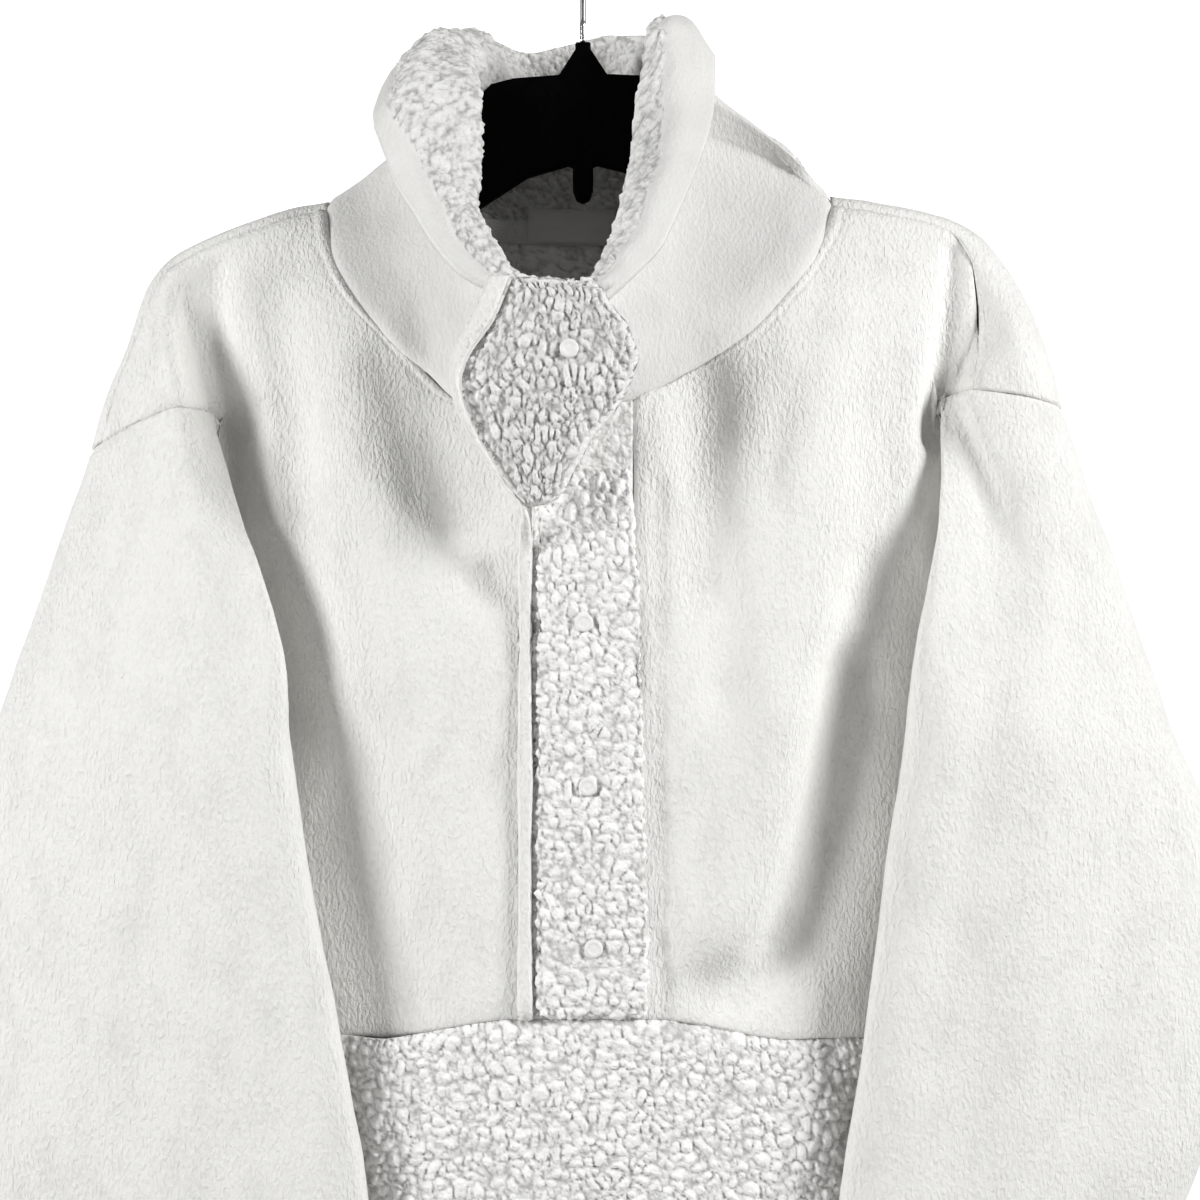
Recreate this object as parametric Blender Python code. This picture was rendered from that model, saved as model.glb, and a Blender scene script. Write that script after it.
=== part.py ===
# Sherpa fleece pullover on a hanger.
# Frame: x to the viewer's right, front of the garment towards -y, z up. The hook bears on a rod at the origin.
# The garment is a set of cloth walls. Each panel is a surface worked out from its seam lines and a depth,
# and thickened inwards. Tables are in millimetres.
import math

import bmesh
import bpy
import numpy as np
from mathutils.bvhtree import BVHTree

MM = 0.001
FLEECE = 0.0050
SHERPA = 0.0062
SEAM_GAP = 0.0003
# The turned shoulder and side edges, and how full the front and the back are.
SHOULDER_ROLL = 0.0135
SIDE_ROLL = 0.012
CHEST_DEPTH = 0.060
BACK_DEPTH = 0.038
CREST_WIDTH, FILL_RUN = 0.006, 0.07
CHEST_TURN = (0.105, 0.085)
CHEST_TURN_REACH = (-0.33, -0.62)
BACK_TURN = 0.14
BACK_LOW = (-0.30, -0.36)
HEM_DRAW, BACK_HEM_DRAW = 0.012, 0.006
HEM_REACH = (-0.62, -0.86)
VALLEY_LIFT = 0.002
VALLEY_REACH = (-0.40, -0.28)
# The rounder cap of the upper arm.
CAP_ROLL, BACK_CAP_ROLL = 0.023, 0.012
CAP_REACH = (-0.200, -0.265)
BACK_CAP_ACROSS = (0.17, 0.23)
CAP_TURN = 0.016
# Where the sides close under the arm.
SIDE_SPARE = 0.012
SIDE_TOP, CLOSING_Z = -0.32, -0.40
# How far from the outline and from the side the soft folds begin.
FOLD_START = (0.010, 0.035)
FOLD_SIDE = 0.04
WAIST_Z = -0.6035
WAIST_DROPS = (0.0125, 0.010)
WAIST_SIDE_X = 0.241
PROUD_REACH = 0.02
HEM_Z = -0.860
UNDERARM_Z = -0.430
OPENING_HALF = 0.0265
SHERPA_PROUD = 0.0025
SEAM_REACH = 0.0007
DIAGONAL = (1.0, 0.21, 0.37)
COLLAR_END = 0.0003
COLLAR_GAP = 0.00048

# Points along the panels' edges.
YOKE_ROWS, SHOULDER_COLUMNS, NECK_ROWS = 19, 12, 9
CREASE_ROW = {-1: 5, 1: 4}
UNDERARM_ROW = 12
STRIP_ROWS = 4
LOWER_ROWS, UNDER_ROWS, UNDER_COLUMNS = 7, 12, 5
SLEEVE_ROWS, SLEEVE_HEAD_ROWS = 12, 7
SLEEVE_START = 0.0035
SLEEVE_CLEAR = 0.0035
SLEEVE_LOOK = 0.009
SLEEVE_FRONT = -0.008
LEAST_DEPTH = -0.0095
# Where rays start that look forwards, and backwards, along y.
BEHIND, BEFORE = 0.2, -0.3
COLLAR_ROWS = 13
# Where the columns of the back stand along the back neck seam, as shares from the centre to the neck point.
BACK_NECK_SHARES = [0, 0.19, 0.37, 0.54, 0.68, 0.79, 0.87, 0.94, 1]
# How far below the shoulder's outline each row of the back lies, at the centre and along the armhole.
BACK_DROPS_CENTRE = [0, 4.5, 11, 24, 48, 82, 118, 155, 195]
BACK_DROPS_ARM = [0, 4, 10, 22, 45, 70, 92, 114, 134]

# Outline of the shoulder and the upper arm from the front, from the neck point to the armhole seam: x, z.
RIDGE = {
    -1: [(138, -171), (151, -173), (176, -181), (201, -190), (219, -199), (232, -211), (240, -229), (247, -250),
         (257, -275), (266, -306)],
    1: [(134, -169), (155, -171), (182, -176), (201, -182), (214, -189), (226, -202), (237, -219), (247, -239),
        (255, -263), (260, -284)],
}

# Shoulder seam, a little in front of that outline: x, z.
SHOULDER_SEAM = {
    -1: [(138, -177), (150, -178), (174, -186), (199, -195), (214, -203), (226, -215), (234, -231), (241, -251),
         (250, -274), (257, -303)],
    1: [(134, -175), (154, -177), (180, -182), (196, -187), (204, -194), (209, -205), (211, -220), (212, -238),
        (210, -257), (207, -275)],
}

# Neck seam on the front, from the neck point to the placket, and on down beside the opening: x, z.
NECK_FRONT = {
    -1: [(138, -177), (136, -192), (129, -212), (118, -230), (104, -246), (88, -261), (68, -282), (47, -291),
         (27, -297)],
    1: [(134, -175), (131, -186), (126, -198), (115, -216), (102, -232), (86, -248), (69, -260), (47, -274),
        (27, -284)],
}

# Neck seam on the back, from the centre to near the neck point: x, z.
NECK_BACK = [(0, -188), (40, -187), (76, -184), (104, -179), (124, -174)]

# Front half of the armhole, from the shoulder seam across the arm, into the crease and to the underarm: x, z.
ARMHOLE_FRONT = {
    -1: [(257, -303), (236, -294), (216, -287), (204, -285), (196, -290), (198, -320), (204, -365), (211, -408),
         (216, -430)],
    1: [(207, -275), (203, -275), (200, -276), (196, -278), (192, -284), (197, -320), (204, -365), (211, -408),
        (216, -430)],
}

# Back half of the armhole, from the outline down to the underarm: x, z.
ARMHOLE_BACK = [(245, -296), (232, -305), (222, -335), (217, -380), (216, -430)]

# Line where the chest turns in under the arm, and on down the side seam: z, x.
SIDE_LINE = [(-160, 204), (-204, 206), (-222, 215), (-240, 212), (-257, 206), (-287, 196), (-320, 198), (-365, 204),
             (-408, 211), (-430, 216), (-520, 232), (-620, 241), (-740, 246), (-860, 247)]

# Soft folds of the fronts: start x, z, middle x, z, end x, z, half width, height towards the viewer.
FOLDS = [
    (-80, -268, -68, -315, -46, -372, 17, -5.0),
    (-110, -262, -104, -330, -98, -420, 20, 3.0),
    (-150, -215, -146, -290, -132, -400, 18, -3.5),
    (-176, -226, -172, -280, -168, -345, 10, 3.0),
    (-42, -430, -58, -446, -80, -476, 9, 2.2),
    (-120, -470, -112, -540, -84, -598, 22, -4.0),
    (62, -282, 72, -320, 66, -378, 18, -6.0),
    (104, -262, 112, -330, 100, -440, 20, 3.5),
    (150, -215, 156, -290, 152, -380, 17, -3.0),
    (134, -438, 124, -545, 66, -596, 17, -8.0),
    (96, -430, 88, -500, 58, -560, 18, 3.5),
    (-70, -640, -66, -730, -76, -850, 26, -4.0),
    (-10, -650, -4, -740, 8, -855, 24, 3.5),
    (72, -640, 80, -730, 70, -850, 26, -4.5),
    (140, -650, 136, -740, 150, -850, 24, 3.0),
]

# Soft folds of the back, in the same columns, height away from the body.
BACK_FOLDS = [
    (-150, -215, -140, -330, -120, -470, 20, -4.0),
    (-80, -230, -70, -380, -84, -560, 24, 3.5),
    (10, -230, 0, -400, 14, -600, 28, -3.5),
    (92, -230, 84, -380, 70, -540, 22, 4.0),
    (160, -225, 148, -320, 128, -450, 20, -4.0),
    (-100, -640, -92, -730, -104, -850, 26, -4.0),
    (-20, -640, -28, -740, -12, -850, 26, 3.5),
    (66, -640, 76, -740, 62, -850, 26, -4.5),
    (136, -640, 130, -740, 144, -850, 24, 3.0),
]

# Sleeve rings: z, centre x, half width, centre y, half depth, how far the inner edge swings forward.
SLEEVE = {
    -1: [(-456, 230, 79, -45, 30, 12), (-500, 231, 87, -48, 28, 12), (-560, 230, 96, -51, 26, 11),
         (-613, 225, 101, -53, 25, 10), (-657, 217, 101, -54, 25, 8), (-700, 206, 97, -53, 26, 7),
         (-760, 189, 82, -51, 27, 5), (-812, 174, 64, -49, 29, 4)],
    1: [(-456, 239, 72, -45, 30, 12), (-500, 245, 85, -48, 28, 12), (-556, 249, 97, -51, 26, 11),
        (-610, 244, 99, -53, 25, 10), (-655, 234, 96, -54, 25, 8), (-700, 223, 91, -53, 26, 7),
        (-760, 207, 79, -51, 27, 5), (-812, 192, 64, -49, 29, 4)],
}
SLEEVE_BULGE = {-1: 0.018, 1: 0.009}
SLEEVE_FORWARD = 0.012
SWELL_ANGLE = math.radians(20)
# Where the underarm, the crease's top and the outline of the arm stand around the sleeve, in degrees.
SLEEVE_ANGLES = {-1: (-84, 55, 180, 276), 1: (-72, 55, 180, 288)}

# Collar sections around the neck, from the placket over the viewer's left, the back and the right:
# outer surface low on the wall, at the bend, under the turned-over part, and at the rim, each as x, y, z.
COLLAR = [
    ((-4, -66, -259), (-4, -72, -233), (-4, -78, -231), (-4, -86, -237)),
    ((-37, -64, -259), (-33, -69, -229), (-37, -77, -228), (-41, -83, -234)),
    ((-62, -56, -248), (-48, -56, -206), (-58, -68, -214), (-67, -76, -219)),
    ((-86, -38, -211), (-59, -39, -184), (-76, -58, -186), (-86, -65, -191)),
    ((-97, -18, -179), (-58, -27, -156), (-84, -46, -158), (-99, -51, -167)),
    ((-112, 3, -152), (-60, -16, -116), (-88, -28, -112), (-107, -33, -134)),
    ((-90, 34, -136), (-63, 20, -100), (-76, 8, -80), (-92, 2, -92)),
    ((-66, 44, -146), (-48, 38, -100), (-56, 34, -77), (-68, 30, -72)),
    ((-32, 48, -150), (-30, 51, -108), (-31, 53, -90), (-33, 54, -77)),
    ((28, 48, -150), (16, 50, -106), (12, 51, -86), (12, 50, -68)),
    ((84, 38, -148), (42, 24, -108), (38, 18, -88), (46, 18, -80)),
    ((107, 18, -143), (43, -2, -86), (53, -8, -78), (64, -9, -94)),
    ((105, -13, -142), (41, -21, -95), (52, -19, -84), (67, -15, -100)),
    ((95, -10, -152), (34, -24, -134), (52, -30, -112), (67, -27, -122)),
    ((84, -20, -176), (31, -27, -157), (49, -37, -136), (67, -39, -139)),
    ((64, -38, -212), (24, -44, -190), (40, -54, -171), (57, -56, -171)),
    ((43, -56, -238), (16, -58, -215), (26, -67, -207), (38, -72, -212)),
    ((24, -63, -257), (9, -68, -229), (11, -76, -228), (15, -82, -235)),
    ((4, -66, -260), (1, -72, -233), (1, -78, -231), (1, -86, -237)),
]
# Where on the neck seam each of those sections stands: x, y, z near its foot.
COLLAR_FEET = [(-1, -55, -291), (-34, -54, -292), (-66, -50, -282), (-104, -36, -246), (-130, -16, -208),
               (-138, 0, -172), (-104, 33, -179), (-70, 36, -184), (-32, 38, -188), (30, 38, -188), (104, 33, -179), (128, 14, -173),
               (134, 0, -170), (134, -11, -175), (126, -16, -198), (102, -32, -232), (69, -44, -260),
               (36, -50, -278), (1, -55, -291)]

# Collar tab, from its low tip to the collar's rim: left x, right x, left z, right z, y.
TAB = [(-27, -17, -341, -339, -84), (-36, -8, -330, -331, -87),
       (-45, 3, -316, -311, -90), (-55, 14, -298, -297, -93),
       (-60, 24, -281, -282, -96), (-56, 29, -266, -267, -98), (-44, 25, -249, -251, -100),
       (-38, 16, -236, -239, -100), (-34, 8, -226, -229, -99)]
TAB_ROWS, TAB_COLUMNS = 15, 7
TAB_SIZE = (0.060, 0.115)
TAB_DOME = 0.004

# Over placket: z, left x, right x.
PLACKET = [(-603, -25, 35), (-564, -25, 35), (-456, -25, 33), (-388, -25, 31), (-345, -25, 28), (-318, -24, 25)]
PLACKET_LINES, PLACKET_COLUMNS = 32, 7
RESTING_GAP = 0.0005
EDGE_ROUND = 0.0022
EDGE_SHARE = 0.62
SPARE_DEPTH = 0.01

# Fleece binding, from the placket's foot to the top of the tab: x of its inner edge, z, width.
BINDING = [(-25.6, -603, 7.4), (-25.6, -480, 7.4), (-25.6, -390, 7.4), (-26, -356, 6.5), (-28, -341, 2.8),
           (-37, -330, 3.0), (-46, -316, 3.5), (-56, -298, 3.5), (-61, -281, 4.2), (-57, -266, 8.0), (-45, -249, 12.0),
           (-39, -236, 12.0), (-35, -226, 11.0)]
BINDING_LINES = 40
BINDING_THICKNESS = 0.0045
BINDING_COLUMNS = np.array([[0, 0.25, 0.75, 1]])
BINDING_CROWN = np.array([[0.75, 1, 1, 0.7]])
# Heights between which the binding leaves the yoke for the tab's edge.
TAB_FOOT = (-0.362, -0.341)

# Snap caps on the placket and, last, on the tab: x, z.
SNAPS = [(6, -566), (3, -483), (1, -399), (-6, -263)]
SNAP_RADIUS = 0.0053
SNAP_HEIGHT = 0.0022
SNAP_DIMPLE = 0.0032
DIMPLE_WIDTH = 0.009
# A cap's profile from its centre behind round to its dished top, as shares of its radius and height.
SNAP_PROFILE = [(0, 0), (0.8, 0), (0.98, 0.25), (1.0, 0.55), (0.88, 0.92), (0.6, 1.0), (0.5, 0.86), (0, 0.8)]
SNAP_SEAT = 0.7
SNAP_STEPS = 14

# Neck tape and label inside the back neck: x range, and how far above the neck seam they start and end.
NECK_TAPE = (-84, 84, 1.5, 11)
LABEL = (-31, 18, 1.2, 19)
TAPE_THICKNESS = 0.001
TAPE_LIFT = 0.0009
TAPE_LOOKS = (-0.002, 0, 0.002)

# Hanger body, one half of its outline from the cap to the middle of its underside: x, z.
HANGER = [(0, -85), (3.6, -85), (4.2, -86), (4.2, -89), (13, -102.5), (38, -104), (50, -107), (57, -114), (62, -131),
          (74, -151), (94, -168), (116, -178), (137, -183.5), (170, -188), (196, -195.5), (204, -202), (202, -211),
          (194, -213), (168, -206), (135, -200), (98, -192), (57, -174), (30, -157), (8, -151), (5.5, -152),
          (5.5, -165), (3.5, -170), (0, -171.5)]
HANGER_TILT = 0.0175
HANGER_THICKNESS = 0.010
HANGER_EDGE = 0.0012

# Hook wire, from the cap up: x, z. Its last arc is a part of a circle around the rod.
HOOK_STEM = [(0, -84.7), (0, -79), (0, -73), (0, -62), (0, -52), (3, -45.5), (10, -39), (16.5, -32.5)]
HOOK_WIRE = 0.0015
HOOK_FERRULE = 1.2
HOOK_FERRULE_TOP = -0.0735
HOOK_RADIUS = 0.020
HOOK_ARC = (-18, 208)

COLOURS = {
    "fleece": ((0.74, 0.735, 0.715, 1), 0.92, 0.0),
    "sherpa": ((0.82, 0.815, 0.80, 1), 0.95, 0.0),
    "hanger_plastic": ((0.012, 0.012, 0.013, 1), 0.35, 0.0),
    "hook_wire": ((0.80, 0.80, 0.80, 1), 0.16, 1.0),
    "snap_resin": ((0.72, 0.71, 0.68, 1), 0.30, 0.0),
    "label_cloth": ((0.80, 0.79, 0.76, 1), 0.80, 0.0),
}

# Clear the scene.
for old in list(bpy.data.objects):
    bpy.data.objects.remove(old)

pullover = bpy.data.collections.new("sherpa_fleece_pullover")
bpy.context.scene.collection.children.link(pullover)


def finish_for(node, kind):
    """A Principled material of the node's own."""
    colour, roughness, metallic = COLOURS[kind]
    material = bpy.data.materials.new(node + "_" + kind)
    material.use_nodes = True
    shader = material.node_tree.nodes["Principled BSDF"]
    shader.inputs["Base Color"].default_value = colour
    shader.inputs["Roughness"].default_value = roughness
    shader.inputs["Metallic"].default_value = metallic
    return material


def add(name, mesh, kind):
    """Puts a mesh in the garment's collection under the node's name."""
    mesh.shade_smooth()
    piece = bpy.data.objects.new(name, mesh)
    piece.data.materials.append(finish_for(name, kind))
    pullover.objects.link(piece)
    return piece


def ease(low, high, value):
    """0 below low, 1 above high, and a smooth rise between them."""
    share = np.clip((value - low) / (high - low), 0, 1)
    return share * share * (3 - 2 * share)


def curve_through(rows, count):
    """Points evenly spaced along a smooth curve through the rows, which are in millimetres."""
    rows = np.array(rows, float) * MM
    ends = np.vstack([2 * rows[0] - rows[1], rows, 2 * rows[-1] - rows[-2]])
    fine = []
    for p0, p1, p2, p3 in zip(ends, ends[1:], ends[2:], ends[3:]):
        for t in np.linspace(0, 1, 20, endpoint=False):
            fine.append(0.5 * (2 * p1 + (p2 - p0) * t + (2 * p0 - 5 * p1 + 4 * p2 - p3) * t**2
                               + (3 * p1 - p0 - 3 * p2 + p3) * t**3))
    return spaced(np.array(fine + [rows[-1]]), count)


def spaced(line, count):
    """The same line with that many points, evenly spaced along it."""
    run = np.concatenate([[0], np.cumsum(np.linalg.norm(np.diff(line, axis=0), axis=1))])
    at = np.linspace(0, run[-1], count)
    return np.stack([np.interp(at, run, line[:, k]) for k in range(line.shape[1])], axis=1)


def between(keys, values, at):
    """Smooth reading of values, which stand at rising keys."""
    place = np.interp(at, keys, np.arange(len(keys)))
    low = np.clip(place.astype(int), 0, len(keys) - 2)
    share = place - low
    ends = np.concatenate([[2 * values[0] - values[1]], values, [2 * values[-1] - values[-2]]])
    p0, p1, p2, p3 = (ends[low + n] for n in range(4))
    return 0.5 * (2 * p1 + (p2 - p0) * share + (2 * p0 - 5 * p1 + 4 * p2 - p3) * share**2
                  + (3 * p1 - p0 - 3 * p2 + p3) * share**3)


def side_line(z):
    """How far out the side of the fronts lies at a height."""
    rows = np.array(SIDE_LINE[::-1], float) * MM
    return between(rows[:, 0], rows[:, 1], z)


def distance_to(line, x, z):
    """Distance from each point to a line of x, z points."""
    best = np.full(np.shape(x), 1e9)
    for a, b in zip(line[:-1], line[1:]):
        step = b - a
        along = np.clip(((x - a[0]) * step[0] + (z - a[1]) * step[1]) / (step @ step), 0, 1)
        best = np.minimum(best, np.hypot(x - a[0] - along * step[0], z - a[1] - along * step[1]))
    return best


def folds(table, x, z):
    """Height of all the soft folds at x, z."""
    total = np.zeros(np.shape(x))
    for x0, z0, xm, zm, x1, z1, half_width, height in table:
        t = np.linspace(0, 1, 13)[:, None]
        start, middle, end = (np.array(p) * MM for p in ((x0, z0), (xm, zm), (x1, z1)))
        line = (1 - t) ** 2 * start + 2 * t * (1 - t) * middle + t**2 * end
        reach = distance_to(line, x, z) / (half_width * MM)
        total += height * MM * np.exp(-reach**2)
    return total


def rounded(distance, radius):
    """Profile of a rounded edge: 0 at the edge, the radius once that far in."""
    inward = np.clip(distance / radius, 0, 1)
    return radius * np.sqrt(1 - (1 - inward) ** 2)


RIDGE_LINE = {side: curve_through(RIDGE[side], 60) for side in (-1, 1)}


def front_depth(x, z):
    """How far the outer surface of the fronts stands before the hanger's plane."""
    x, z = np.asarray(x, float), np.asarray(z, float)
    across = np.abs(x)
    to_ridge = np.where(x < 0, distance_to(RIDGE_LINE[-1], across, z), distance_to(RIDGE_LINE[1], across, z))
    side = side_line(z)
    full = rounded(to_ridge, SHOULDER_ROLL)
    filling = 1 - np.exp(-np.maximum(to_ridge - CREST_WIDTH, 0) / FILL_RUN)
    full = full + (CHEST_DEPTH - SHOULDER_ROLL) * filling
    full = full - HEM_DRAW * ease(*HEM_REACH, z)
    valley = np.minimum(SIDE_ROLL + VALLEY_LIFT * ease(*VALLEY_REACH, z), rounded(to_ridge, SHOULDER_ROLL))
    width = CHEST_TURN[0] + CHEST_TURN[1] * ease(*CHEST_TURN_REACH, z)
    chest = valley + (full - valley) * ease(0, 1, np.clip((side - across) / width, 0, 1) ** 0.8)
    cap_roll = SHOULDER_ROLL + CAP_ROLL * ease(*CAP_REACH, z)
    cap = rounded(to_ridge, cap_roll)
    outside = np.clip((across - side) / CAP_TURN, 0, 1)
    over_arm = valley + (np.maximum(cap, valley) - valley) * np.sin(outside * math.pi / 2)
    depth = np.where(across > side, over_arm, chest)
    closing = SIDE_SPARE * ease(CLOSING_Z, UNDERARM_Z, z)
    rim = rounded(side + SIDE_SPARE - closing - across, SIDE_ROLL) / SIDE_ROLL
    depth = np.where(z < SIDE_TOP, depth * np.where(across > side - SIDE_ROLL, rim, 1), depth)
    return depth + folds(FOLDS, x, z) * ease(*FOLD_START, to_ridge) * ease(0, FOLD_SIDE, side - across)


def back_depth(x, z):
    """How far the outer surface of the back stands behind the hanger's plane."""
    x, z = np.asarray(x, float), np.asarray(z, float)
    across = np.abs(x)
    to_ridge = np.where(x < 0, distance_to(RIDGE_LINE[-1], across, z), distance_to(RIDGE_LINE[1], across, z))
    side = side_line(z)
    roll = SHOULDER_ROLL + BACK_CAP_ROLL * ease(*CAP_REACH, z) * ease(*BACK_CAP_ACROSS, across)
    full = rounded(to_ridge, roll)
    filling = 1 - np.exp(-np.maximum(to_ridge - CREST_WIDTH, 0) / FILL_RUN)
    full = full + (BACK_DEPTH - roll) * filling
    full = full - BACK_HEM_DRAW * ease(*HEM_REACH, z)
    below = ease(CLOSING_Z, UNDERARM_Z, z)
    spare = SIDE_SPARE * (1 - below)
    inward = np.clip((side + spare - across) / BACK_TURN, 0, 1)
    flat = SIDE_ROLL + (full - SIDE_ROLL) * ease(0, 1, inward**0.7)
    low = ease(*BACK_LOW, z)
    depth = full * (1 - low) + flat * low
    rim = rounded(side + spare - across, SIDE_ROLL) / SIDE_ROLL
    depth = depth * np.where((z < BACK_LOW[1]) & (across > side - SIDE_ROLL), rim, 1)
    return depth + folds(BACK_FOLDS, x, z) * ease(*FOLD_START, to_ridge) * ease(0, FOLD_SIDE, side - across)


def patch(top, bottom, inner, outer):
    """Grid of points that fills four edge lines. top and bottom run outwards, inner and outer run down."""
    s = np.linspace(0, 1, len(top))[None, :, None]
    run = np.concatenate([[0], np.cumsum(np.linalg.norm(np.diff(inner, axis=0), axis=1))])
    t = (run / run[-1])[:, None, None]
    corners = (1 - t) * ((1 - s) * top[0] + s * top[-1]) + t * ((1 - s) * bottom[0] + s * bottom[-1])
    return (1 - t) * top[None] + t * bottom[None] + (1 - s) * inner[:, None] + s * outer[:, None] - corners


def patch_strip(seam, ridge, rows):
    """Rows of points from a seam line across to the ridge, closer together near the ridge."""
    share = np.sin(np.linspace(0, math.pi / 2, rows))[:, None, None]
    return (1 - share) * seam[None] + share * ridge[None]


PANELS = {}


def panel(name, grids, thickness, kind, around=False):
    """Keeps a panel's outer face until the seams are closed. Grids of one panel share their edge points."""
    points, faces = [], []
    for grid in grids:
        rows, columns = grid.shape[:2]
        first = len(points)
        points.extend(grid.reshape(-1, 3))
        for i in range(rows - 1):
            for j in range(columns if around else columns - 1):
                k = (j + 1) % columns
                faces.append([first + n for n in (i * columns + j, (i + 1) * columns + j,
                                                  (i + 1) * columns + k, i * columns + k)])
    points = np.array(points)
    _, kept, index = np.unique(np.round(points, 5) + 0.0, axis=0, return_index=True, return_inverse=True)
    PANELS[name] = {"points": points[kept], "faces": index.reshape(-1)[np.array(faces)],
                    "thickness": thickness, "kind": kind}


def edge_pairs(faces):
    """The directed edges that only one face uses."""
    pairs = np.concatenate([faces[:, [k, (k + 1) % 4]] for k in range(4)])
    pairs = pairs[pairs[:, 0] != pairs[:, 1]]
    _, index, uses = np.unique(np.sort(pairs, axis=1), axis=0, return_inverse=True, return_counts=True)
    return pairs[uses[index.reshape(-1)] == 1]


def normals_of(points, faces):
    """Unit normals of the outer face at its points."""
    across = np.cross(points[faces[:, 2]] - points[faces[:, 0]], points[faces[:, 3]] - points[faces[:, 1]])
    total = np.zeros_like(points)
    for k in range(4):
        np.add.at(total, faces[:, k], across)
    return total / np.linalg.norm(total, axis=1)[:, None]


def close_seams():
    """Gives the panels their thickness. Panels that meet share the seam's normal, so their edges lie side by side."""
    for part in PANELS.values():
        part["normals"] = normals_of(part["points"], part["faces"])
        part["edges"] = edge_pairs(part["faces"])
        part["rim"] = np.unique(part["edges"])
    where = np.concatenate([part["points"][part["rim"]] for part in PANELS.values()])
    facing = np.concatenate([part["normals"][part["rim"]] for part in PANELS.values()])
    for name, part in PANELS.items():
        shared = part["normals"].copy()
        for k in part["rim"]:
            near = np.linalg.norm(where - part["points"][k], axis=1) < SEAM_REACH
            shared[k] = facing[near].sum(axis=0)
            if abs(part["points"][k][2] - waist_z(part["points"][k][0])) < SEAM_REACH:
                shared[k][2] = 0
            shared[k] /= np.linalg.norm(shared[k])
        inner = part["points"] - part["thickness"] * shared
        count = len(inner)
        builder = bmesh.new()
        points = [builder.verts.new(p) for p in np.vstack([part["points"], inner])]
        for face in part["faces"]:
            builder.faces.new([points[k] for k in face])
            builder.faces.new([points[k + count] for k in face[::-1]])
        for a, b in part["edges"]:
            # The same diagonal on both sides of a seam.
            if part["points"][a] @ DIAGONAL < part["points"][b] @ DIAGONAL:
                builder.faces.new((points[b], points[a], points[b + count]))
                builder.faces.new((points[a], points[a + count], points[b + count]))
            else:
                builder.faces.new((points[b], points[a], points[a + count]))
                builder.faces.new((points[b], points[a + count], points[b + count]))
        mesh = bpy.data.meshes.new(name)
        builder.to_mesh(mesh)
        builder.free()
        add(name, mesh, part["kind"])


def waist_z(x):
    """Height of the waist seam, a little lower towards the sides."""
    across = np.abs(x)
    return WAIST_Z - WAIST_DROPS[0] * ease(0.030, 0.115, across) - WAIST_DROPS[1] * ease(0.12, 0.24, across)


def flipped(grid, side):
    """Turns a grid of one side so that its faces point out."""
    return grid if side > 0 else grid[:, ::-1]


def lifted(flat, side, depth, sign):
    """Gives x, z points of one side their depth: sign -1 is the front and 1 the back."""
    x, z = side * flat[..., 0], flat[..., 1]
    return np.stack([x, sign * depth(x, z), z], axis=-1)


def side_seam(count):
    """The side seam from the underarm to the waist seam."""
    z = np.linspace(UNDERARM_Z, waist_z(WAIST_SIDE_X) + SEAM_GAP, count)
    return np.stack([side_line(z), z], axis=1)


def front_edges(side):
    """The four edges of a front yoke, as x, z lines."""
    top = curve_through(SHOULDER_SEAM[side], SHOULDER_COLUMNS)
    neck = curve_through(NECK_FRONT[side], NECK_ROWS)
    foot = np.array([OPENING_HALF, waist_z(OPENING_HALF) + SEAM_GAP])
    inner = np.vstack([neck, spaced(np.array([neck[-1], foot]), YOKE_ROWS - NECK_ROWS + 1)[1:]])
    crease = CREASE_ROW[side]
    upper = curve_through(ARMHOLE_FRONT[side][:5], crease)
    lower = curve_through(ARMHOLE_FRONT[side][4:], UNDERARM_ROW - crease + 1)
    outer = np.vstack([upper, lower[1:], side_seam(YOKE_ROWS - UNDERARM_ROW + 1)[1:]])
    x = np.linspace(OPENING_HALF, outer[-1, 0], SHOULDER_COLUMNS)
    bottom = np.stack([x, waist_z(x) + SEAM_GAP], axis=1)
    return top, bottom, inner, outer


FRONT = {}
for side in (-1, 1):
    FRONT[side] = lifted(patch(*front_edges(side)), side, front_depth, -1)
    FRONT[side][UNDERARM_ROW - 1:, -1, 1] -= SEAM_GAP / 2


def back_edges(side):
    """The four edges of one half of the back yoke, and the strip that comes over the shoulder to the seam."""
    neck = curve_through(NECK_BACK + [RIDGE[side][0]], 101)[(np.array(BACK_NECK_SHARES) * 100).astype(int)]
    ridge = curve_through(RIDGE[side], SHOULDER_COLUMNS)
    top = np.vstack([neck, ridge[1:]])
    seam = curve_through(SHOULDER_SEAM[side], SHOULDER_COLUMNS)
    towards = ridge - seam
    seam = seam + SEAM_GAP * towards / np.linalg.norm(towards, axis=1)[:, None]
    arm = curve_through([RIDGE[side][-1]] + ARMHOLE_BACK, 135)[BACK_DROPS_ARM]
    below = YOKE_ROWS - UNDERARM_ROW + 1
    outer = np.vstack([arm, side_seam(below)[1:]])
    drop = np.array(BACK_DROPS_CENTRE) * MM
    foot = top[0, 1] - waist_z(0) - SEAM_GAP
    drop = np.concatenate([drop, np.linspace(drop[-1], foot, below)[1:]])
    inner = np.stack([drop * 0, top[0, 1] - drop], axis=1)
    x = np.linspace(0, outer[-1, 0], len(top))
    bottom = np.stack([x, waist_z(x) + SEAM_GAP], axis=1)
    return top, bottom, inner, outer, patch_strip(seam, ridge, STRIP_ROWS)


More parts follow.
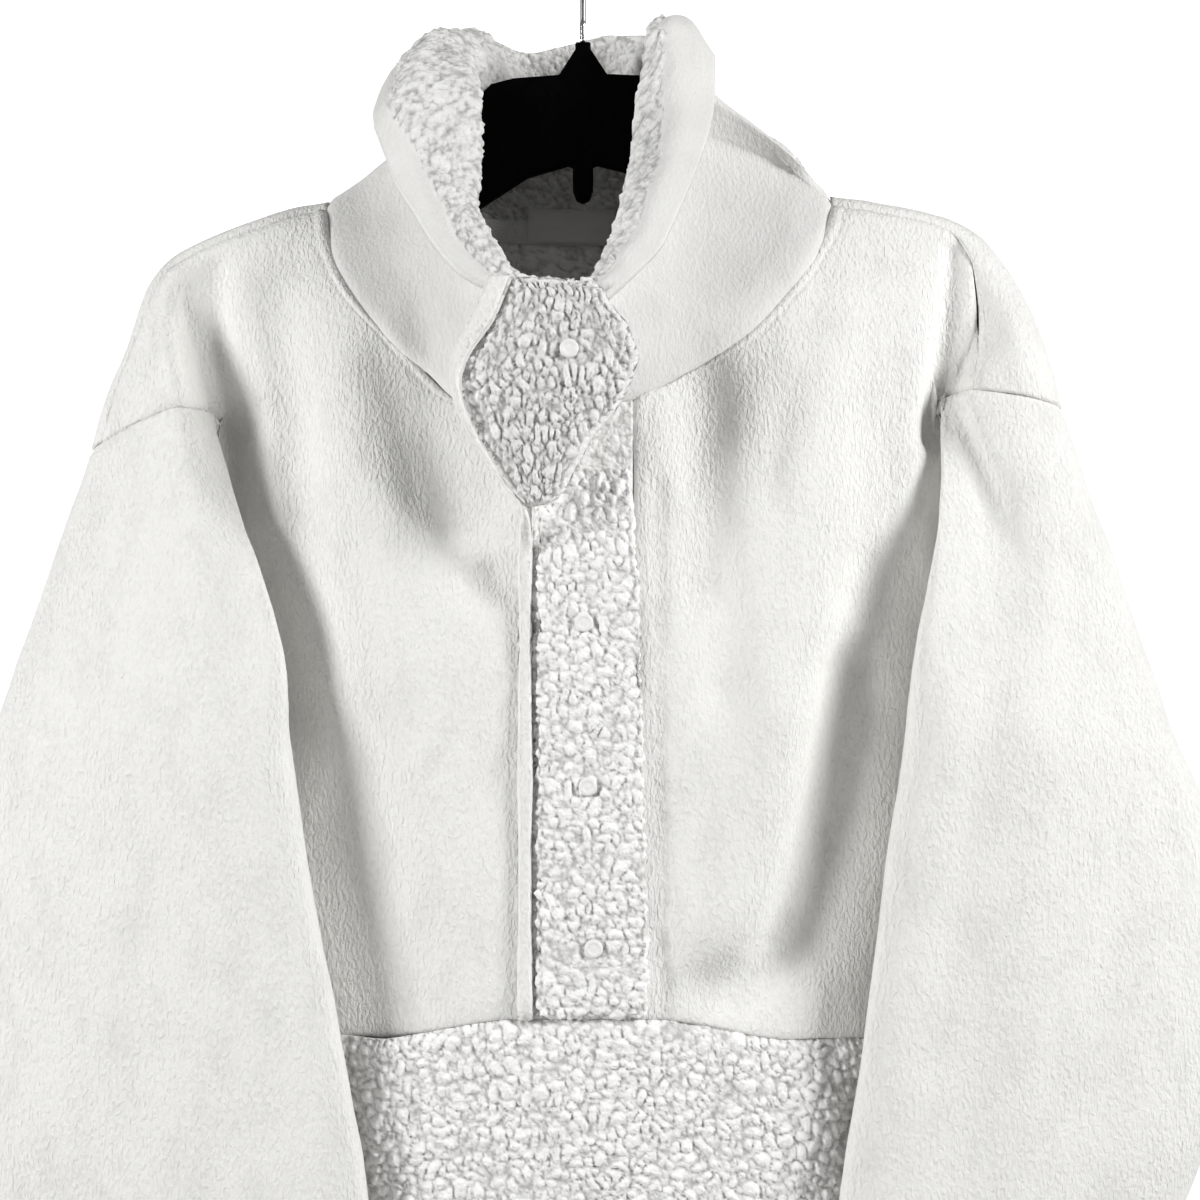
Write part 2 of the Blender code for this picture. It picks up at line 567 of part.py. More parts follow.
BACK, STRIP = {}, {}
back_grids = []
for side in (-1, 1):
    top, bottom, inner, outer, strip = back_edges(side)
    BACK[side] = lifted(patch(top, bottom, inner, outer), side, back_depth, 1)
    BACK[side][len(BACK_DROPS_ARM) - 1:, -1, 1] += SEAM_GAP / 2
    BACK[side][0, len(BACK_NECK_SHARES) - 1:, 1] = 0
    STRIP[side] = lifted(strip, side, front_depth, -1)
    STRIP[side][-1, :, 1] = 0
    back_grids += [flipped(BACK[side], -side), flipped(STRIP[side], -side)]
panel("back_yoke", back_grids, FLEECE, "fleece")


def lower_grid(half_rows, depth, sign, proud, x):
    """A lower panel from side seam to side seam, from the waist seam to the hem."""
    share = np.linspace(0, 1, half_rows)[:, None]
    side = side_line(waist_z(WAIST_SIDE_X) + share * (HEM_Z - waist_z(WAIST_SIDE_X)))
    across = x[None, :] / abs(x[0]) * side
    z = waist_z(across) + share * (HEM_Z - waist_z(across))
    y = sign * (depth(across, z) + proud * ease(0, PROUD_REACH, side - np.abs(across)))
    y[:, [0, -1]] = sign * SEAM_GAP / 2
    return np.stack([across, y, z], axis=-1)


edge_x = FRONT[1][-1, :, 0]
middle_x = np.linspace(-OPENING_HALF, OPENING_HALF, UNDER_COLUMNS)[1:-1]
front_x = np.concatenate([FRONT[-1][-1, ::-1, 0], middle_x, edge_x])
back_x = np.concatenate([BACK[-1][-1, ::-1, 0], BACK[1][-1, 1:, 0]])
panel("back_lower", [lower_grid(LOWER_ROWS, back_depth, 1, SHERPA_PROUD, back_x)[:, ::-1]], SHERPA, "sherpa")


def armhole(side):
    """The armhole's points, from the underarm up the front and down the back, and those just inside."""
    front = slice(UNDERARM_ROW - 1, None, -1)
    back = slice(1, len(BACK_DROPS_ARM) - 1)
    loop = np.vstack([FRONT[side][front, -1], STRIP[side][1:, -1], BACK[side][back, -1]])
    inside = np.vstack([FRONT[side][front, -2], STRIP[side][1:, -2], BACK[side][back, -2]])
    return loop, inside


def sleeve_rings(side, angles):
    """Sleeve rings below the underarm, on the given angles: 0 is the inner edge, a right angle the front."""
    table = np.array(SLEEVE[side], float) * MM
    run = np.arange(len(table))
    at = np.linspace(0, run[-1], SLEEVE_ROWS)
    z, centre, half, y, deep, swing = (between(run, table[:, k], at) for k in range(6))
    cos, sin = np.cos(angles), np.sin(angles)
    flat = np.sign(cos) * np.abs(cos) ** 0.9
    x = side * (centre[:, None] - half[:, None] * flat)
    depth = y[:, None] - deep[:, None] * np.sign(sin) * np.abs(sin) ** 0.9 - swing[:, None] * cos
    return np.stack([x, depth, np.repeat(z[:, None], len(angles), axis=1)], axis=-1)


def sleeve_grid(side):
    """The sleeve's outer face, from the armhole to the cuff."""
    loop, inside = armhole(side)
    lower = UNDERARM_ROW - CREASE_ROW[side]
    over = CREASE_ROW[side] + STRIP_ROWS - 2
    start, crease, outline, end = SLEEVE_ANGLES[side]
    angles = np.radians(np.concatenate([
        np.linspace(start, crease, lower + 1), np.linspace(crease, outline, over + 1)[1:],
        np.linspace(outline, end, len(loop) - lower - over + 1)[1:-1]]))
    rings = sleeve_rings(side, angles)
    away = loop - inside
    along = np.roll(loop, -1, axis=0) - np.roll(loop, 1, axis=0)
    along /= np.linalg.norm(along, axis=1)[:, None]
    away -= (away * along).sum(axis=1)[:, None] * along
    away /= np.linalg.norm(away, axis=1)[:, None]
    rows = [loop + SEAM_GAP * away, loop + SLEEVE_START * away]
    for w in np.linspace(0, 1, SLEEVE_HEAD_ROWS + 1)[1:-1]:
        row = (1 - w) * rows[1] + w * rings[0]
        swell = math.sin(math.pi * w) * np.clip(np.cos(angles - SWELL_ANGLE), 0, 1) ** 2
        row[:, 0] -= side * SLEEVE_BULGE[side] * swell
        row[:, 1] -= SLEEVE_FORWARD * swell
        rows.append(row)
    return np.stack(rows + list(rings))


def grid_tree(grid, around):
    """A grid of points as a surface to be looked up by ray."""
    rows, columns = grid.shape[:2]
    faces = []
    for i in range(rows - 1):
        for j in range(columns if around else columns - 1):
            k = (j + 1) % columns
            faces.append((i * columns + j, i * columns + k, (i + 1) * columns + k, (i + 1) * columns + j))
    return BVHTree.FromPolygons([tuple(p) for p in grid.reshape(-1, 3)], faces)


def behind_sleeve(points, tree):
    """Moves points of the front back until they are clear of the sleeve that lies over them."""
    around = np.arange(8) * math.pi / 4
    looks = [(0, 0)] + [(SLEEVE_LOOK * math.cos(a), SLEEVE_LOOK * math.sin(a)) for a in around]
    for place in np.ndindex(points.shape[:-1]):
        x, y, z = points[place]
        for dx, dz in looks:
            start = (x + dx, BEHIND, z + dz)
            rear = tree.ray_cast(start, (0, -1, 0))[0]
            if rear is not None and rear.y < SLEEVE_FRONT:
                y = max(y, min(rear.y + SLEEVE_CLEAR, LEAST_DEPTH))
        points[place][1] = y


SLEEVES = {side: sleeve_grid(side) for side in (-1, 1)}
for side, word in ((-1, "right"), (1, "left")):
    behind_sleeve(FRONT[side][1:, 1:-1], grid_tree(SLEEVES[side], True))
    panel("front_yoke_" + word, [flipped(FRONT[side], side)], FLEECE, "fleece")
    grid = SLEEVES[side]
    panel("sleeve_" + word, [grid if side > 0 else grid[:, ::-1]], FLEECE, "fleece", around=True)


def under_placket():
    """The strip behind the opening, level with the yokes, from the waist seam to the neck seam."""
    x = np.linspace(-OPENING_HALF + SEAM_GAP, OPENING_HALF - SEAM_GAP, UNDER_COLUMNS)
    top = np.interp(x, [x[0], x[-1]], [FRONT[-1][NECK_ROWS - 1, 0, 2], FRONT[1][NECK_ROWS - 1, 0, 2]])
    share = np.linspace(0, 1, UNDER_ROWS)[:, None]
    z = top + share * (waist_z(x) + SEAM_GAP - top)
    across = np.broadcast_to(x, z.shape)
    return np.stack([across, -front_depth(across, z), z], axis=-1)


LOWER = lower_grid(LOWER_ROWS, front_depth, -1, SHERPA_PROUD, front_x)
for side in (-1, 1):
    behind_sleeve(LOWER[:, 1:-1], grid_tree(SLEEVES[side], True))
panel("front_lower", [LOWER], SHERPA, "sherpa")

UNDER = under_placket()
panel("placket_under", [UNDER], FLEECE, "sherpa")


def neck_line():
    """The neck seam's points, from the placket over the viewer's left, the back and the right."""
    left_end = UNDER[0, 1:UNDER_COLUMNS // 2][::-1]
    right_end = UNDER[0, UNDER_COLUMNS // 2 + 1:-1]
    start = UNDER[0, UNDER_COLUMNS // 2] * [0, 1, 1] - [COLLAR_END, 0, 0]
    stop = UNDER[0, UNDER_COLUMNS // 2] * [0, 1, 1] + [COLLAR_END, 0, 0]
    front_left, front_right = FRONT[-1][:NECK_ROWS, 0][::-1], FRONT[1][:NECK_ROWS, 0]
    back_left = BACK[-1][0, :len(BACK_NECK_SHARES)][::-1]
    back_right = BACK[1][0, 1:len(BACK_NECK_SHARES)]
    return np.vstack([[start], left_end, front_left, STRIP[-1][1:-1, 0], back_left, back_right,
                      STRIP[1][1:-1, 0][::-1], front_right, right_end, [stop]])


def collar():
    """The collar's outer face: rows from the neck seam to the rim, columns around the neck."""
    line = neck_line()
    run = np.concatenate([[0], np.cumsum(np.linalg.norm(np.diff(line, axis=0), axis=1))])
    run /= run[-1]
    feet = np.array(COLLAR_FEET, float) * MM
    near = [run[np.argmin(np.linalg.norm(line - foot, axis=1))] for foot in feet]
    guides = np.array(COLLAR, float) * MM
    lines = [line]
    for k in range(guides.shape[1]):
        lines.append(np.stack([between(near, guides[:, k, n], run) for n in range(3)], axis=1))
    lines = np.array(lines)
    at = np.linspace(0, len(lines) - 1, COLLAR_ROWS)
    padded = np.concatenate([[2 * lines[0] - lines[1]], lines, [2 * lines[-1] - lines[-2]]])
    rows = []
    for place in at:
        low = min(int(place), len(lines) - 2)
        t = place - low
        p0, p1, p2, p3 = padded[low:low + 4]
        rows.append(0.5 * (2 * p1 + (p2 - p0) * t + (2 * p0 - 5 * p1 + 4 * p2 - p3) * t**2
                           + (3 * p1 - p0 - 3 * p2 + p3) * t**3))
    grid = np.array(rows)
    along = np.gradient(grid[0], axis=0)
    along /= np.linalg.norm(along, axis=1)[:, None]
    rise = grid[1] - grid[0]
    rise -= (rise * along).sum(axis=1)[:, None] * along
    grid[0] += COLLAR_GAP * rise / np.linalg.norm(rise, axis=1)[:, None]
    return grid


COLLAR_GRID = collar()
panel("collar", [COLLAR_GRID], SHERPA, "fleece")
close_seams()


def slab(name, outer, inner, kind):
    """A closed piece between two grids of the same shape."""
    rows, columns = outer.shape[:2]
    builder = bmesh.new()
    front, back = ([[builder.verts.new(p) for p in row] for row in grid] for grid in (outer, inner))
    for i in range(rows - 1):
        for j in range(columns - 1):
            builder.faces.new((front[i][j], front[i + 1][j], front[i + 1][j + 1], front[i][j + 1]))
            builder.faces.new((back[i][j], back[i][j + 1], back[i + 1][j + 1], back[i + 1][j]))
    rim = [(i, 0) for i in range(rows)] + [(rows - 1, j) for j in range(1, columns)]
    rim += [(i, columns - 1) for i in range(rows - 2, -1, -1)] + [(0, j) for j in range(columns - 2, 0, -1)]
    for (i, j), (k, n) in zip(rim, rim[1:] + rim[:1]):
        builder.faces.new((front[i][j], back[i][j], back[k][n], front[k][n]))
    bmesh.ops.recalc_face_normals(builder, faces=builder.faces)
    mesh = bpy.data.meshes.new(name)
    builder.to_mesh(mesh)
    builder.free()
    return add(name, mesh, kind)


def surface_of(*names):
    """The finished pieces of those names, to be looked up by ray."""
    trees = []
    for name in names:
        mesh = bpy.data.objects[name].data
        points = [vertex.co[:] for vertex in mesh.vertices]
        trees.append(BVHTree.FromPolygons(points, [face.vertices[:] for face in mesh.polygons]))
    return trees


def frontmost(trees, x, z, start, direction):
    """y of the first surface met from start along y at x, z, or None."""
    hits = []
    for tree in trees:
        for step in (-SEAM_GAP, 0, SEAM_GAP):
            hit = tree.ray_cast((x + step, start, z), (0, direction, 0))[0]
            if hit is not None:
                hits.append(hit.y)
    if not hits:
        return None
    return min(hits) if direction > 0 else max(hits)


def resting(trees, x, z, spare):
    """y of what lies under each x, z point as seen from the front, or the spare value where nothing does."""
    y = np.array(spare, float)
    for place in np.ndindex(x.shape):
        met = frontmost(trees, x[place], z[place], BEFORE, 1)
        if met is not None:
            y[place] = met
    return y


def softened(columns, rows, width, height):
    """Share of the full thickness over a piece's face: less at its edges, as a rounded edge has."""
    u = np.linspace(0, 1, columns)[None, :]
    v = np.linspace(0, 1, rows)[:, None]
    across = np.minimum(u, 1 - u) * width
    down = np.minimum(v, 1 - v) * height
    inward = np.clip(np.minimum(across, down) / EDGE_ROUND, 0, 1)
    return EDGE_SHARE + (1 - EDGE_SHARE) * np.sqrt(1 - (1 - inward) ** 2)


def over_placket():
    table = np.array(PLACKET, float) * MM
    z = np.linspace(table[0, 0], table[-1, 0], PLACKET_LINES)
    left, right = between(table[:, 0], table[:, 1], z), between(table[:, 0], table[:, 2], z)
    share = np.linspace(0, 1, PLACKET_COLUMNS)[None, :]
    x = left[:, None] * (1 - share) + right[:, None] * share
    z = np.broadcast_to(z[:, None], x.shape)
    base = resting(surface_of("placket_under", "front_yoke_left", "front_yoke_right"), x, z, -front_depth(x, z))
    inner = base - RESTING_GAP
    outer = inner - SHERPA * softened(PLACKET_COLUMNS, PLACKET_LINES, right[0] - left[0], z[-1, 0] - z[0, 0])
    for cap_x, cap_z in SNAPS[:3]:
        reach = np.hypot(x - cap_x * MM, z - cap_z * MM) / DIMPLE_WIDTH
        outer = outer + SNAP_DIMPLE * np.exp(-reach**2)
    slab("placket_over", np.stack([x, outer, z], -1), np.stack([x, inner, z], -1), "sherpa")


over_placket()


def collar_tab():
    table = np.array(TAB, float) * MM
    at = np.linspace(0, len(table) - 1, TAB_ROWS)
    columns = [between(np.arange(len(table)), table[:, k], at)[:, None] for k in range(5)]
    left, right, left_z, right_z, y = columns
    share = np.linspace(0, 1, TAB_COLUMNS)[None, :]
    x = left * (1 - share) + right * share
    z = left_z * (1 - share) + right_z * share
    inner = y + SHERPA - TAB_DOME * (1 - (2 * share - 1) ** 2)
    trees = surface_of("collar", "placket_over", "front_yoke_right", "front_yoke_left")
    under = resting(trees, x, z, inner + SPARE_DEPTH)
    inner = np.minimum(inner, under - RESTING_GAP)
    outer = inner - SHERPA * softened(TAB_COLUMNS, TAB_ROWS, *TAB_SIZE)
    cap_x, cap_z = SNAPS[3]
    outer = outer + SNAP_DIMPLE * np.exp(-(np.hypot(x - cap_x * MM, z - cap_z * MM) / DIMPLE_WIDTH) ** 2)
    slab("collar_tab", np.stack([x, outer, z], -1), np.stack([x, inner, z], -1), "sherpa")


collar_tab()


def placket_binding():
    """The folded fleece edge beside the placket and the tab."""
    table = np.array(BINDING, float) * MM
    at = np.linspace(0, len(table) - 1, BINDING_LINES)
    edge, z, width = (between(np.arange(len(table)), table[:, k], at)[:, None] for k in range(3))
    x = edge - width * BINDING_COLUMNS
    z = np.broadcast_to(z, x.shape)
    tab = np.array(TAB, float) * MM
    tab_y = between(tab[:, 2], tab[:, 4], np.clip(z, tab[0, 2], tab[-1, 2])) + BINDING_THICKNESS
    beside_tab = ease(*TAB_FOOT, z)
    spare = tab_y * beside_tab - front_depth(x, z) * (1 - beside_tab)
    under = resting(surface_of("collar", "front_yoke_right", "placket_under"), x, z, spare + SPARE_DEPTH)
    inner = np.minimum(spare, under - RESTING_GAP)
    outer = inner - BINDING_THICKNESS * BINDING_CROWN
    slab("placket_binding", np.stack([x, outer, z], -1), np.stack([x, inner, z], -1), "fleece")


placket_binding()


def neck_piece(name, span, columns, under, lift):
    """A flat strip that stands on the back neck seam, on the lining."""
    left, right, low, high = (n * MM for n in span)
    x, up = np.meshgrid(np.linspace(left, right, columns), np.linspace(low, high, 3))
    seam = np.array(NECK_BACK, float) * MM
    z = up + between(seam[:, 0], seam[:, 1], np.abs(x))
    trees = surface_of(*under)
    back = np.zeros(x.shape)
    for place in np.ndindex(x.shape):
        looks = [frontmost(trees, x[place], z[place] + dz, 0.0, 1) for dz in TAPE_LOOKS]
        back[place] = min(y for y in looks if y is not None)
    back -= lift
    slab(name, np.stack([x, back - TAPE_THICKNESS, z], -1), np.stack([x, back, z], -1), "label_cloth")


neck_piece("neck_tape", NECK_TAPE, 21, ["collar", "back_yoke"], TAPE_LIFT)
neck_piece("label", LABEL, 13, ["neck_tape", "collar"], RESTING_GAP)


def snap_cap(name, x, z, trees):
    """A low round cap, seated on the pile."""
    seat_radius = SNAP_SEAT * SNAP_RADIUS
    ring = [(seat_radius * math.cos(a), seat_radius * math.sin(a)) for a in np.linspace(0, 2 * math.pi, 12)]
    seat = min(frontmost(trees, x + dx, z + dz, BEFORE, 1) for dx, dz in ring + [(0, 0)])
    builder = bmesh.new()
    points = [builder.verts.new((r * SNAP_RADIUS, -h * SNAP_HEIGHT, 0)) for r, h in SNAP_PROFILE]
    edges = [builder.edges.new(pair) for pair in zip(points, points[1:])]
    bmesh.ops.spin(builder, geom=points + edges, cent=(0, 0, 0), axis=(0, 1, 0), dvec=(0, 0, 0),
                   angle=2 * math.pi, steps=SNAP_STEPS, use_duplicate=False)
    bmesh.ops.remove_doubles(builder, verts=builder.verts, dist=0.00002)
    bmesh.ops.recalc_face_normals(builder, faces=builder.faces)
    mesh = bpy.data.meshes.new(name)
    builder.to_mesh(mesh)
    builder.free()
    cap = add(name, mesh, "snap_resin")
    cap.location = (x, seat - SEAM_GAP, z)


pile = surface_of("placket_over", "collar_tab")
for number, (x, z) in enumerate(SNAPS, 1):
    snap_cap(f"snap_cap_{number}", x * MM, z * MM, pile)


def hanger_body():
    """The moulded body: its outline filled and thickened, with eased edges."""
    right = [(x * MM, z * MM) for x, z in HANGER]
    outline = right + [(-x, z) for x, z in right[-2:0:-1]]
    curve = bpy.data.curves.new("hanger_body", "CURVE")
    curve.dimensions = "2D"
    curve.fill_mode = "BOTH"
    curve.extrude = HANGER_THICKNESS / 2 - HANGER_EDGE
    curve.bevel_depth = HANGER_EDGE
    curve.bevel_resolution = 1
    curve.offset = -HANGER_EDGE
    line = curve.splines.new("POLY")
    line.points.add(len(outline) - 1)
    for point, (x, z) in zip(line.points, outline):
        point.co = (x, z + HANGER_TILT * x, 0, 1)
    line.use_cyclic_u = True
    curve.materials.append(finish_for("hanger_body", "hanger_plastic"))
    body = bpy.data.objects.new("hanger_body", curve)
    body.rotation_euler = (math.pi / 2, 0, 0)
    pullover.objects.link(body)


def hanger_hook():
    """The bent wire, thicker just above the cap, with an open hook round the rod."""
    stem = np.array(HOOK_STEM, float) * MM
    radius = HOOK_RADIUS + HOOK_WIRE
    turns = np.radians(np.linspace(*HOOK_ARC, 18))
    arc = np.stack([radius * np.cos(turns), -HOOK_RADIUS + radius * np.sin(turns)], axis=1)
    path = np.vstack([stem[:4], curve_through(np.vstack([stem[4:], arc[:1]]) / MM, 9)[:-1], arc])
    curve = bpy.data.curves.new("hanger_hook", "CURVE")
    curve.dimensions = "3D"
    curve.bevel_depth = HOOK_WIRE
    curve.bevel_resolution = 3
    curve.use_fill_caps = True
    line = curve.splines.new("POLY")
    line.points.add(len(path) - 1)
    for point, (x, z) in zip(line.points, path):
        point.co = (x, 0, z, 1)
        point.radius = HOOK_FERRULE if z < HOOK_FERRULE_TOP else 1
    curve.materials.append(finish_for("hanger_hook", "hook_wire"))
    pullover.objects.link(bpy.data.objects.new("hanger_hook", curve))


hanger_body()
hanger_hook()
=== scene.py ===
# Sherpa fleece pullover on a hanger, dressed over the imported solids.
import math

import bpy
import numpy as np
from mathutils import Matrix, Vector
from mathutils.bvhtree import BVHTree


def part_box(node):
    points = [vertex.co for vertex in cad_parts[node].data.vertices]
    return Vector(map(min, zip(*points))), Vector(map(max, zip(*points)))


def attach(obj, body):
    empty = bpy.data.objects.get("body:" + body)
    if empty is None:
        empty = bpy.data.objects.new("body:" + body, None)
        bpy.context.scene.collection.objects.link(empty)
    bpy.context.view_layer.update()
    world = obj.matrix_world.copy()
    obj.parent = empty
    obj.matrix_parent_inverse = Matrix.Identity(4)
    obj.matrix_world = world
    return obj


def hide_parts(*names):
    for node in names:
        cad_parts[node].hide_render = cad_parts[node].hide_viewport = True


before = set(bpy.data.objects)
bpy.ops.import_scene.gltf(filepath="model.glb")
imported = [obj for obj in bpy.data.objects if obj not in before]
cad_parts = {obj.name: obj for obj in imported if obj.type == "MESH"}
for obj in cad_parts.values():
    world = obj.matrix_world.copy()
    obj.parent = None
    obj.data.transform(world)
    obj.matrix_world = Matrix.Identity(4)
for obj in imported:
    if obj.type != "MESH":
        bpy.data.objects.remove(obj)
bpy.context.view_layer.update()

# The studio: a level camera before the chest, a white room, a soft light at each side, a white wall behind,
# and a plain pale floor well below the garment, which hangs free.
MM = 0.001
PIXEL = 0.544 * MM
PICTURE = 1200
CAMERA_DISTANCE = 1.1
CAMERA_X, CAMERA_Z = 9.25 * MM, -387.5 * MM
SENSOR = 36
FLOOR_Z = -1.5
FLOOR_RADIUS = 2.2
BACKDROP_RADIUS = 3.4
BACKDROP_Y = 4.4


def in_scene(name, data):
    """Links a new object to the scene."""
    thing = bpy.data.objects.new(name, data)
    bpy.context.scene.collection.objects.link(thing)
    return thing


camera_lens = bpy.data.cameras.new("studio_camera")
camera_lens.sensor_width = SENSOR
camera_lens.lens = SENSOR * CAMERA_DISTANCE / (PICTURE * PIXEL)
camera_lens.clip_end = 30
camera = in_scene("studio_camera", camera_lens)
camera.location = (CAMERA_X, -CAMERA_DISTANCE, CAMERA_Z)
camera.rotation_euler = (math.pi / 2, 0, 0)
bpy.context.scene.camera = camera
bpy.context.scene.view_settings.view_transform = "Standard"

room = bpy.data.worlds.new("white_room")
room.use_nodes = True
background = room.node_tree.nodes["Background"].inputs
background["Color"].default_value = (1.0, 0.995, 0.985, 1)
background["Strength"].default_value = 0.15
bpy.context.scene.world = room

CHEST = Vector((0, 0, -0.42))


def soft_light(name, size, power, place):
    """A square area light that looks at the chest."""
    lamp = bpy.data.lights.new(name, "AREA")
    lamp.size = size
    lamp.energy = power
    light = in_scene(name, lamp)
    light.location = place
    light.rotation_euler = (CHEST - light.location).to_track_quat("-Z", "Y").to_euler()


soft_light("left_light", 0.7, 34, (-1.79, -1.04, 0.0))
soft_light("right_light", 0.7, 40, (1.70, -0.99, 0.32))


def flat_finish(name, colour, glow):
    """The floor's and the backdrop's plain paint."""
    paint = bpy.data.materials.new(name)
    paint.use_nodes = True
    shader = paint.node_tree.nodes["Principled BSDF"]
    shader.inputs["Base Color"].default_value = colour
    shader.inputs["Roughness"].default_value = 0.9
    shader.inputs["Emission Color"].default_value = colour
    shader.inputs["Emission Strength"].default_value = glow
    return paint


def stage_disc(name, radius, place, turn, paint):
    """A round plate of the studio."""
    turns = np.linspace(0, 2 * math.pi, 64, endpoint=False)
    rim = [(radius * math.cos(a), radius * math.sin(a), 0) for a in turns]
    plate = bpy.data.meshes.new(name)
    plate.from_pydata(rim, [], [list(range(len(rim)))])
    plate.materials.append(paint)
    disc = in_scene(name, plate)
    disc.location = place
    disc.rotation_euler = turn


floor_paint = flat_finish("floor_paint", (0.86, 0.86, 0.85, 1), 0)
backdrop_paint = flat_finish("backdrop_paint", (1, 1, 1, 1), 1.0)
stage_disc("floor", FLOOR_RADIUS, (0, 0, FLOOR_Z), (0, 0, 0), floor_paint)
stage_disc("backdrop", BACKDROP_RADIUS, (0, BACKDROP_Y, CAMERA_Z), (math.pi / 2, 0, 0), backdrop_paint)

# Front yokes: two panels of bonded fleece, one each side of the half opening, short nap outside and pile
# inside. Plain seams join them to the shoulder strips, the sleeves, the collar and the lower front.

# Outline of the shoulder and the upper arm from the front, from the neck point to the armhole seam: x, z.
RIDGE = {
    -1: [(138, -171), (151, -173), (176, -181), (201, -190), (219, -199), (232, -211), (240, -229),
         (247, -250), (257, -275), (266, -306)],
    1: [(134, -169), (155, -171), (182, -176), (201, -182), (214, -189), (226, -202), (237, -219),
        (247, -239), (255, -263), (260, -284)],
}

# Shoulder seam, a little in front of that outline: x, z.
SHOULDER_SEAM = {
    -1: [(138, -177), (150, -178), (174, -186), (199, -195), (214, -203), (226, -215), (234, -231),
         (241, -251), (250, -274), (257, -303)],
    1: [(134, -175), (154, -177), (180, -182), (196, -187), (204, -194), (209, -205), (211, -220),
        (212, -238), (210, -257), (207, -275)],
}

# Neck seam on the front, from the neck point to the placket, and on down beside the opening: x, z.
NECK_FRONT = {
    -1: [(138, -177), (136, -192), (129, -212), (118, -230), (104, -246), (88, -261), (68, -282), (47, -291),
         (27, -297)],
    1: [(134, -175), (131, -186), (126, -198), (115, -216), (102, -232), (86, -248), (69, -260), (47, -274),
        (27, -284)],
}

# Front half of the armhole, from the shoulder seam across the arm, into the crease and to the underarm: x, z.
ARMHOLE_FRONT = {
    -1: [(257, -303), (236, -294), (216, -287), (204, -285), (196, -290), (198, -320), (204, -365),
         (211, -408), (216, -430)],
    1: [(207, -275), (203, -275), (200, -276), (196, -278), (192, -284), (197, -320), (204, -365),
        (211, -408), (216, -430)],
}

# Line where the chest turns in under the arm, and on down the side seam: z, x.
SIDE_LINE = [(-160, 204), (-204, 206), (-222, 215), (-240, 212), (-257, 206), (-287, 196), (-320, 198),
             (-365, 204), (-408, 211), (-430, 216), (-520, 232), (-620, 241), (-740, 246), (-860, 247)]

# Soft folds of the fronts: start x, z, middle x, z, end x, z, half width, height towards the viewer.
FOLDS = [
    (-80, -268, -68, -315, -46, -372, 17, -5.0),
    (-110, -262, -104, -330, -98, -420, 20, 3.0),
    (-150, -215, -146, -290, -132, -400, 18, -3.5),
    (-176, -226, -172, -280, -168, -345, 10, 3.0),
    (-42, -430, -58, -446, -80, -476, 9, 2.2),
    (-120, -470, -112, -540, -84, -598, 22, -4.0),
    (62, -282, 72, -320, 66, -378, 18, -6.0),
    (104, -262, 112, -330, 100, -440, 20, 3.5),
    (150, -215, 156, -290, 152, -380, 17, -3.0),
    (142, -425, 134, -600, 70, -594, 17, -8.0),
    (104, -430, 96, -510, 66, -556, 20, 3.5),
    (-70, -640, -66, -730, -76, -850, 26, -4.0),
    (-10, -650, -4, -740, 8, -855, 24, 3.5),
    (72, -640, 80, -730, 70, -850, 26, -4.5),
    (140, -650, 136, -740, 150, -850, 24, 3.0),
]

FLEECE = 5.0 * MM
SEAM_GAP = 0.3 * MM
# The turned shoulder and side edges, how full the front is and how it is drawn in at the hem.
SHOULDER_ROLL = 13.5 * MM
SIDE_ROLL = 12 * MM
CHEST_DEPTH = 60 * MM
CREST_WIDTH, FILL_RUN = 6 * MM, 70 * MM
CHEST_TURN, CHEST_TURN_REACH, CHEST_CURVE = (0.105, 0.085), (-0.33, -0.62), 0.8
HEM_DRAW = 12 * MM
HEM_REACH = (-0.62, -0.86)
VALLEY_LIFT = 2 * MM
VALLEY_REACH = (-0.40, -0.28)
CAP_ROLL, CAP_REACH, CAP_TURN = 0.023, (-0.200, -0.265), 0.016
SIDE_SPARE = 12 * MM
SIDE_TOP, CLOSING_Z = -0.32, -0.40
FOLD_START, FOLD_SIDE = (0.010, 0.035), 0.04
WAIST_Z = -0.6035
# How much lower the waist seam lies towards the sides, and over which part of the width.
WAIST_DROPS = ((0.0125, (0.030, 0.115)), (0.010, (0.12, 0.24)))
WAIST_SIDE_X = 0.241
UNDERARM_Z = -430 * MM
OPENING_HALF = 26.5 * MM
YOKE_ROWS, SHOULDER_COLUMNS, NECK_ROWS = 19, 12, 9
CREASE_ROW = {-1: 5, 1: 4}
UNDERARM_ROW = 12


def ease(low, high, value):
    """0 below low, 1 above high, and a smooth rise between them."""
    share = np.clip((value - low) / (high - low), 0, 1)
    return share * share * (3 - 2 * share)


def curve_at(p0, p1, p2, p3, t):
    """The point a share t of the way from p1 to p2, on a smooth curve through all four."""
    return 0.5 * (2 * p1 + (p2 - p0) * t + (2 * p0 - 5 * p1 + 4 * p2 - p3) * t**2
                  + (3 * p1 - p0 - 3 * p2 + p3) * t**3)


def run_along(line):
    """How far along a line each of its points lies."""
    return np.concatenate([[0], np.cumsum(np.linalg.norm(np.diff(line, axis=0), axis=1))])


def spaced(line, count):
    """The same line with that many points, evenly spaced along it."""
    run = run_along(line)
    at = np.linspace(0, run[-1], count)
    return np.stack([np.interp(at, run, line[:, k]) for k in range(line.shape[1])], axis=1)


def curve_through(rows, count):
    """Points evenly spaced along a smooth curve through the rows, which are in millimetres."""
    rows = np.array(rows, float) * MM
    ends = np.vstack([2 * rows[0] - rows[1], rows, 2 * rows[-1] - rows[-2]])
    shares = np.linspace(0, 1, 20, endpoint=False)
    line = [curve_at(*four, t) for four in zip(ends, ends[1:], ends[2:], ends[3:]) for t in shares]
    return spaced(np.array(line + [rows[-1]]), count)


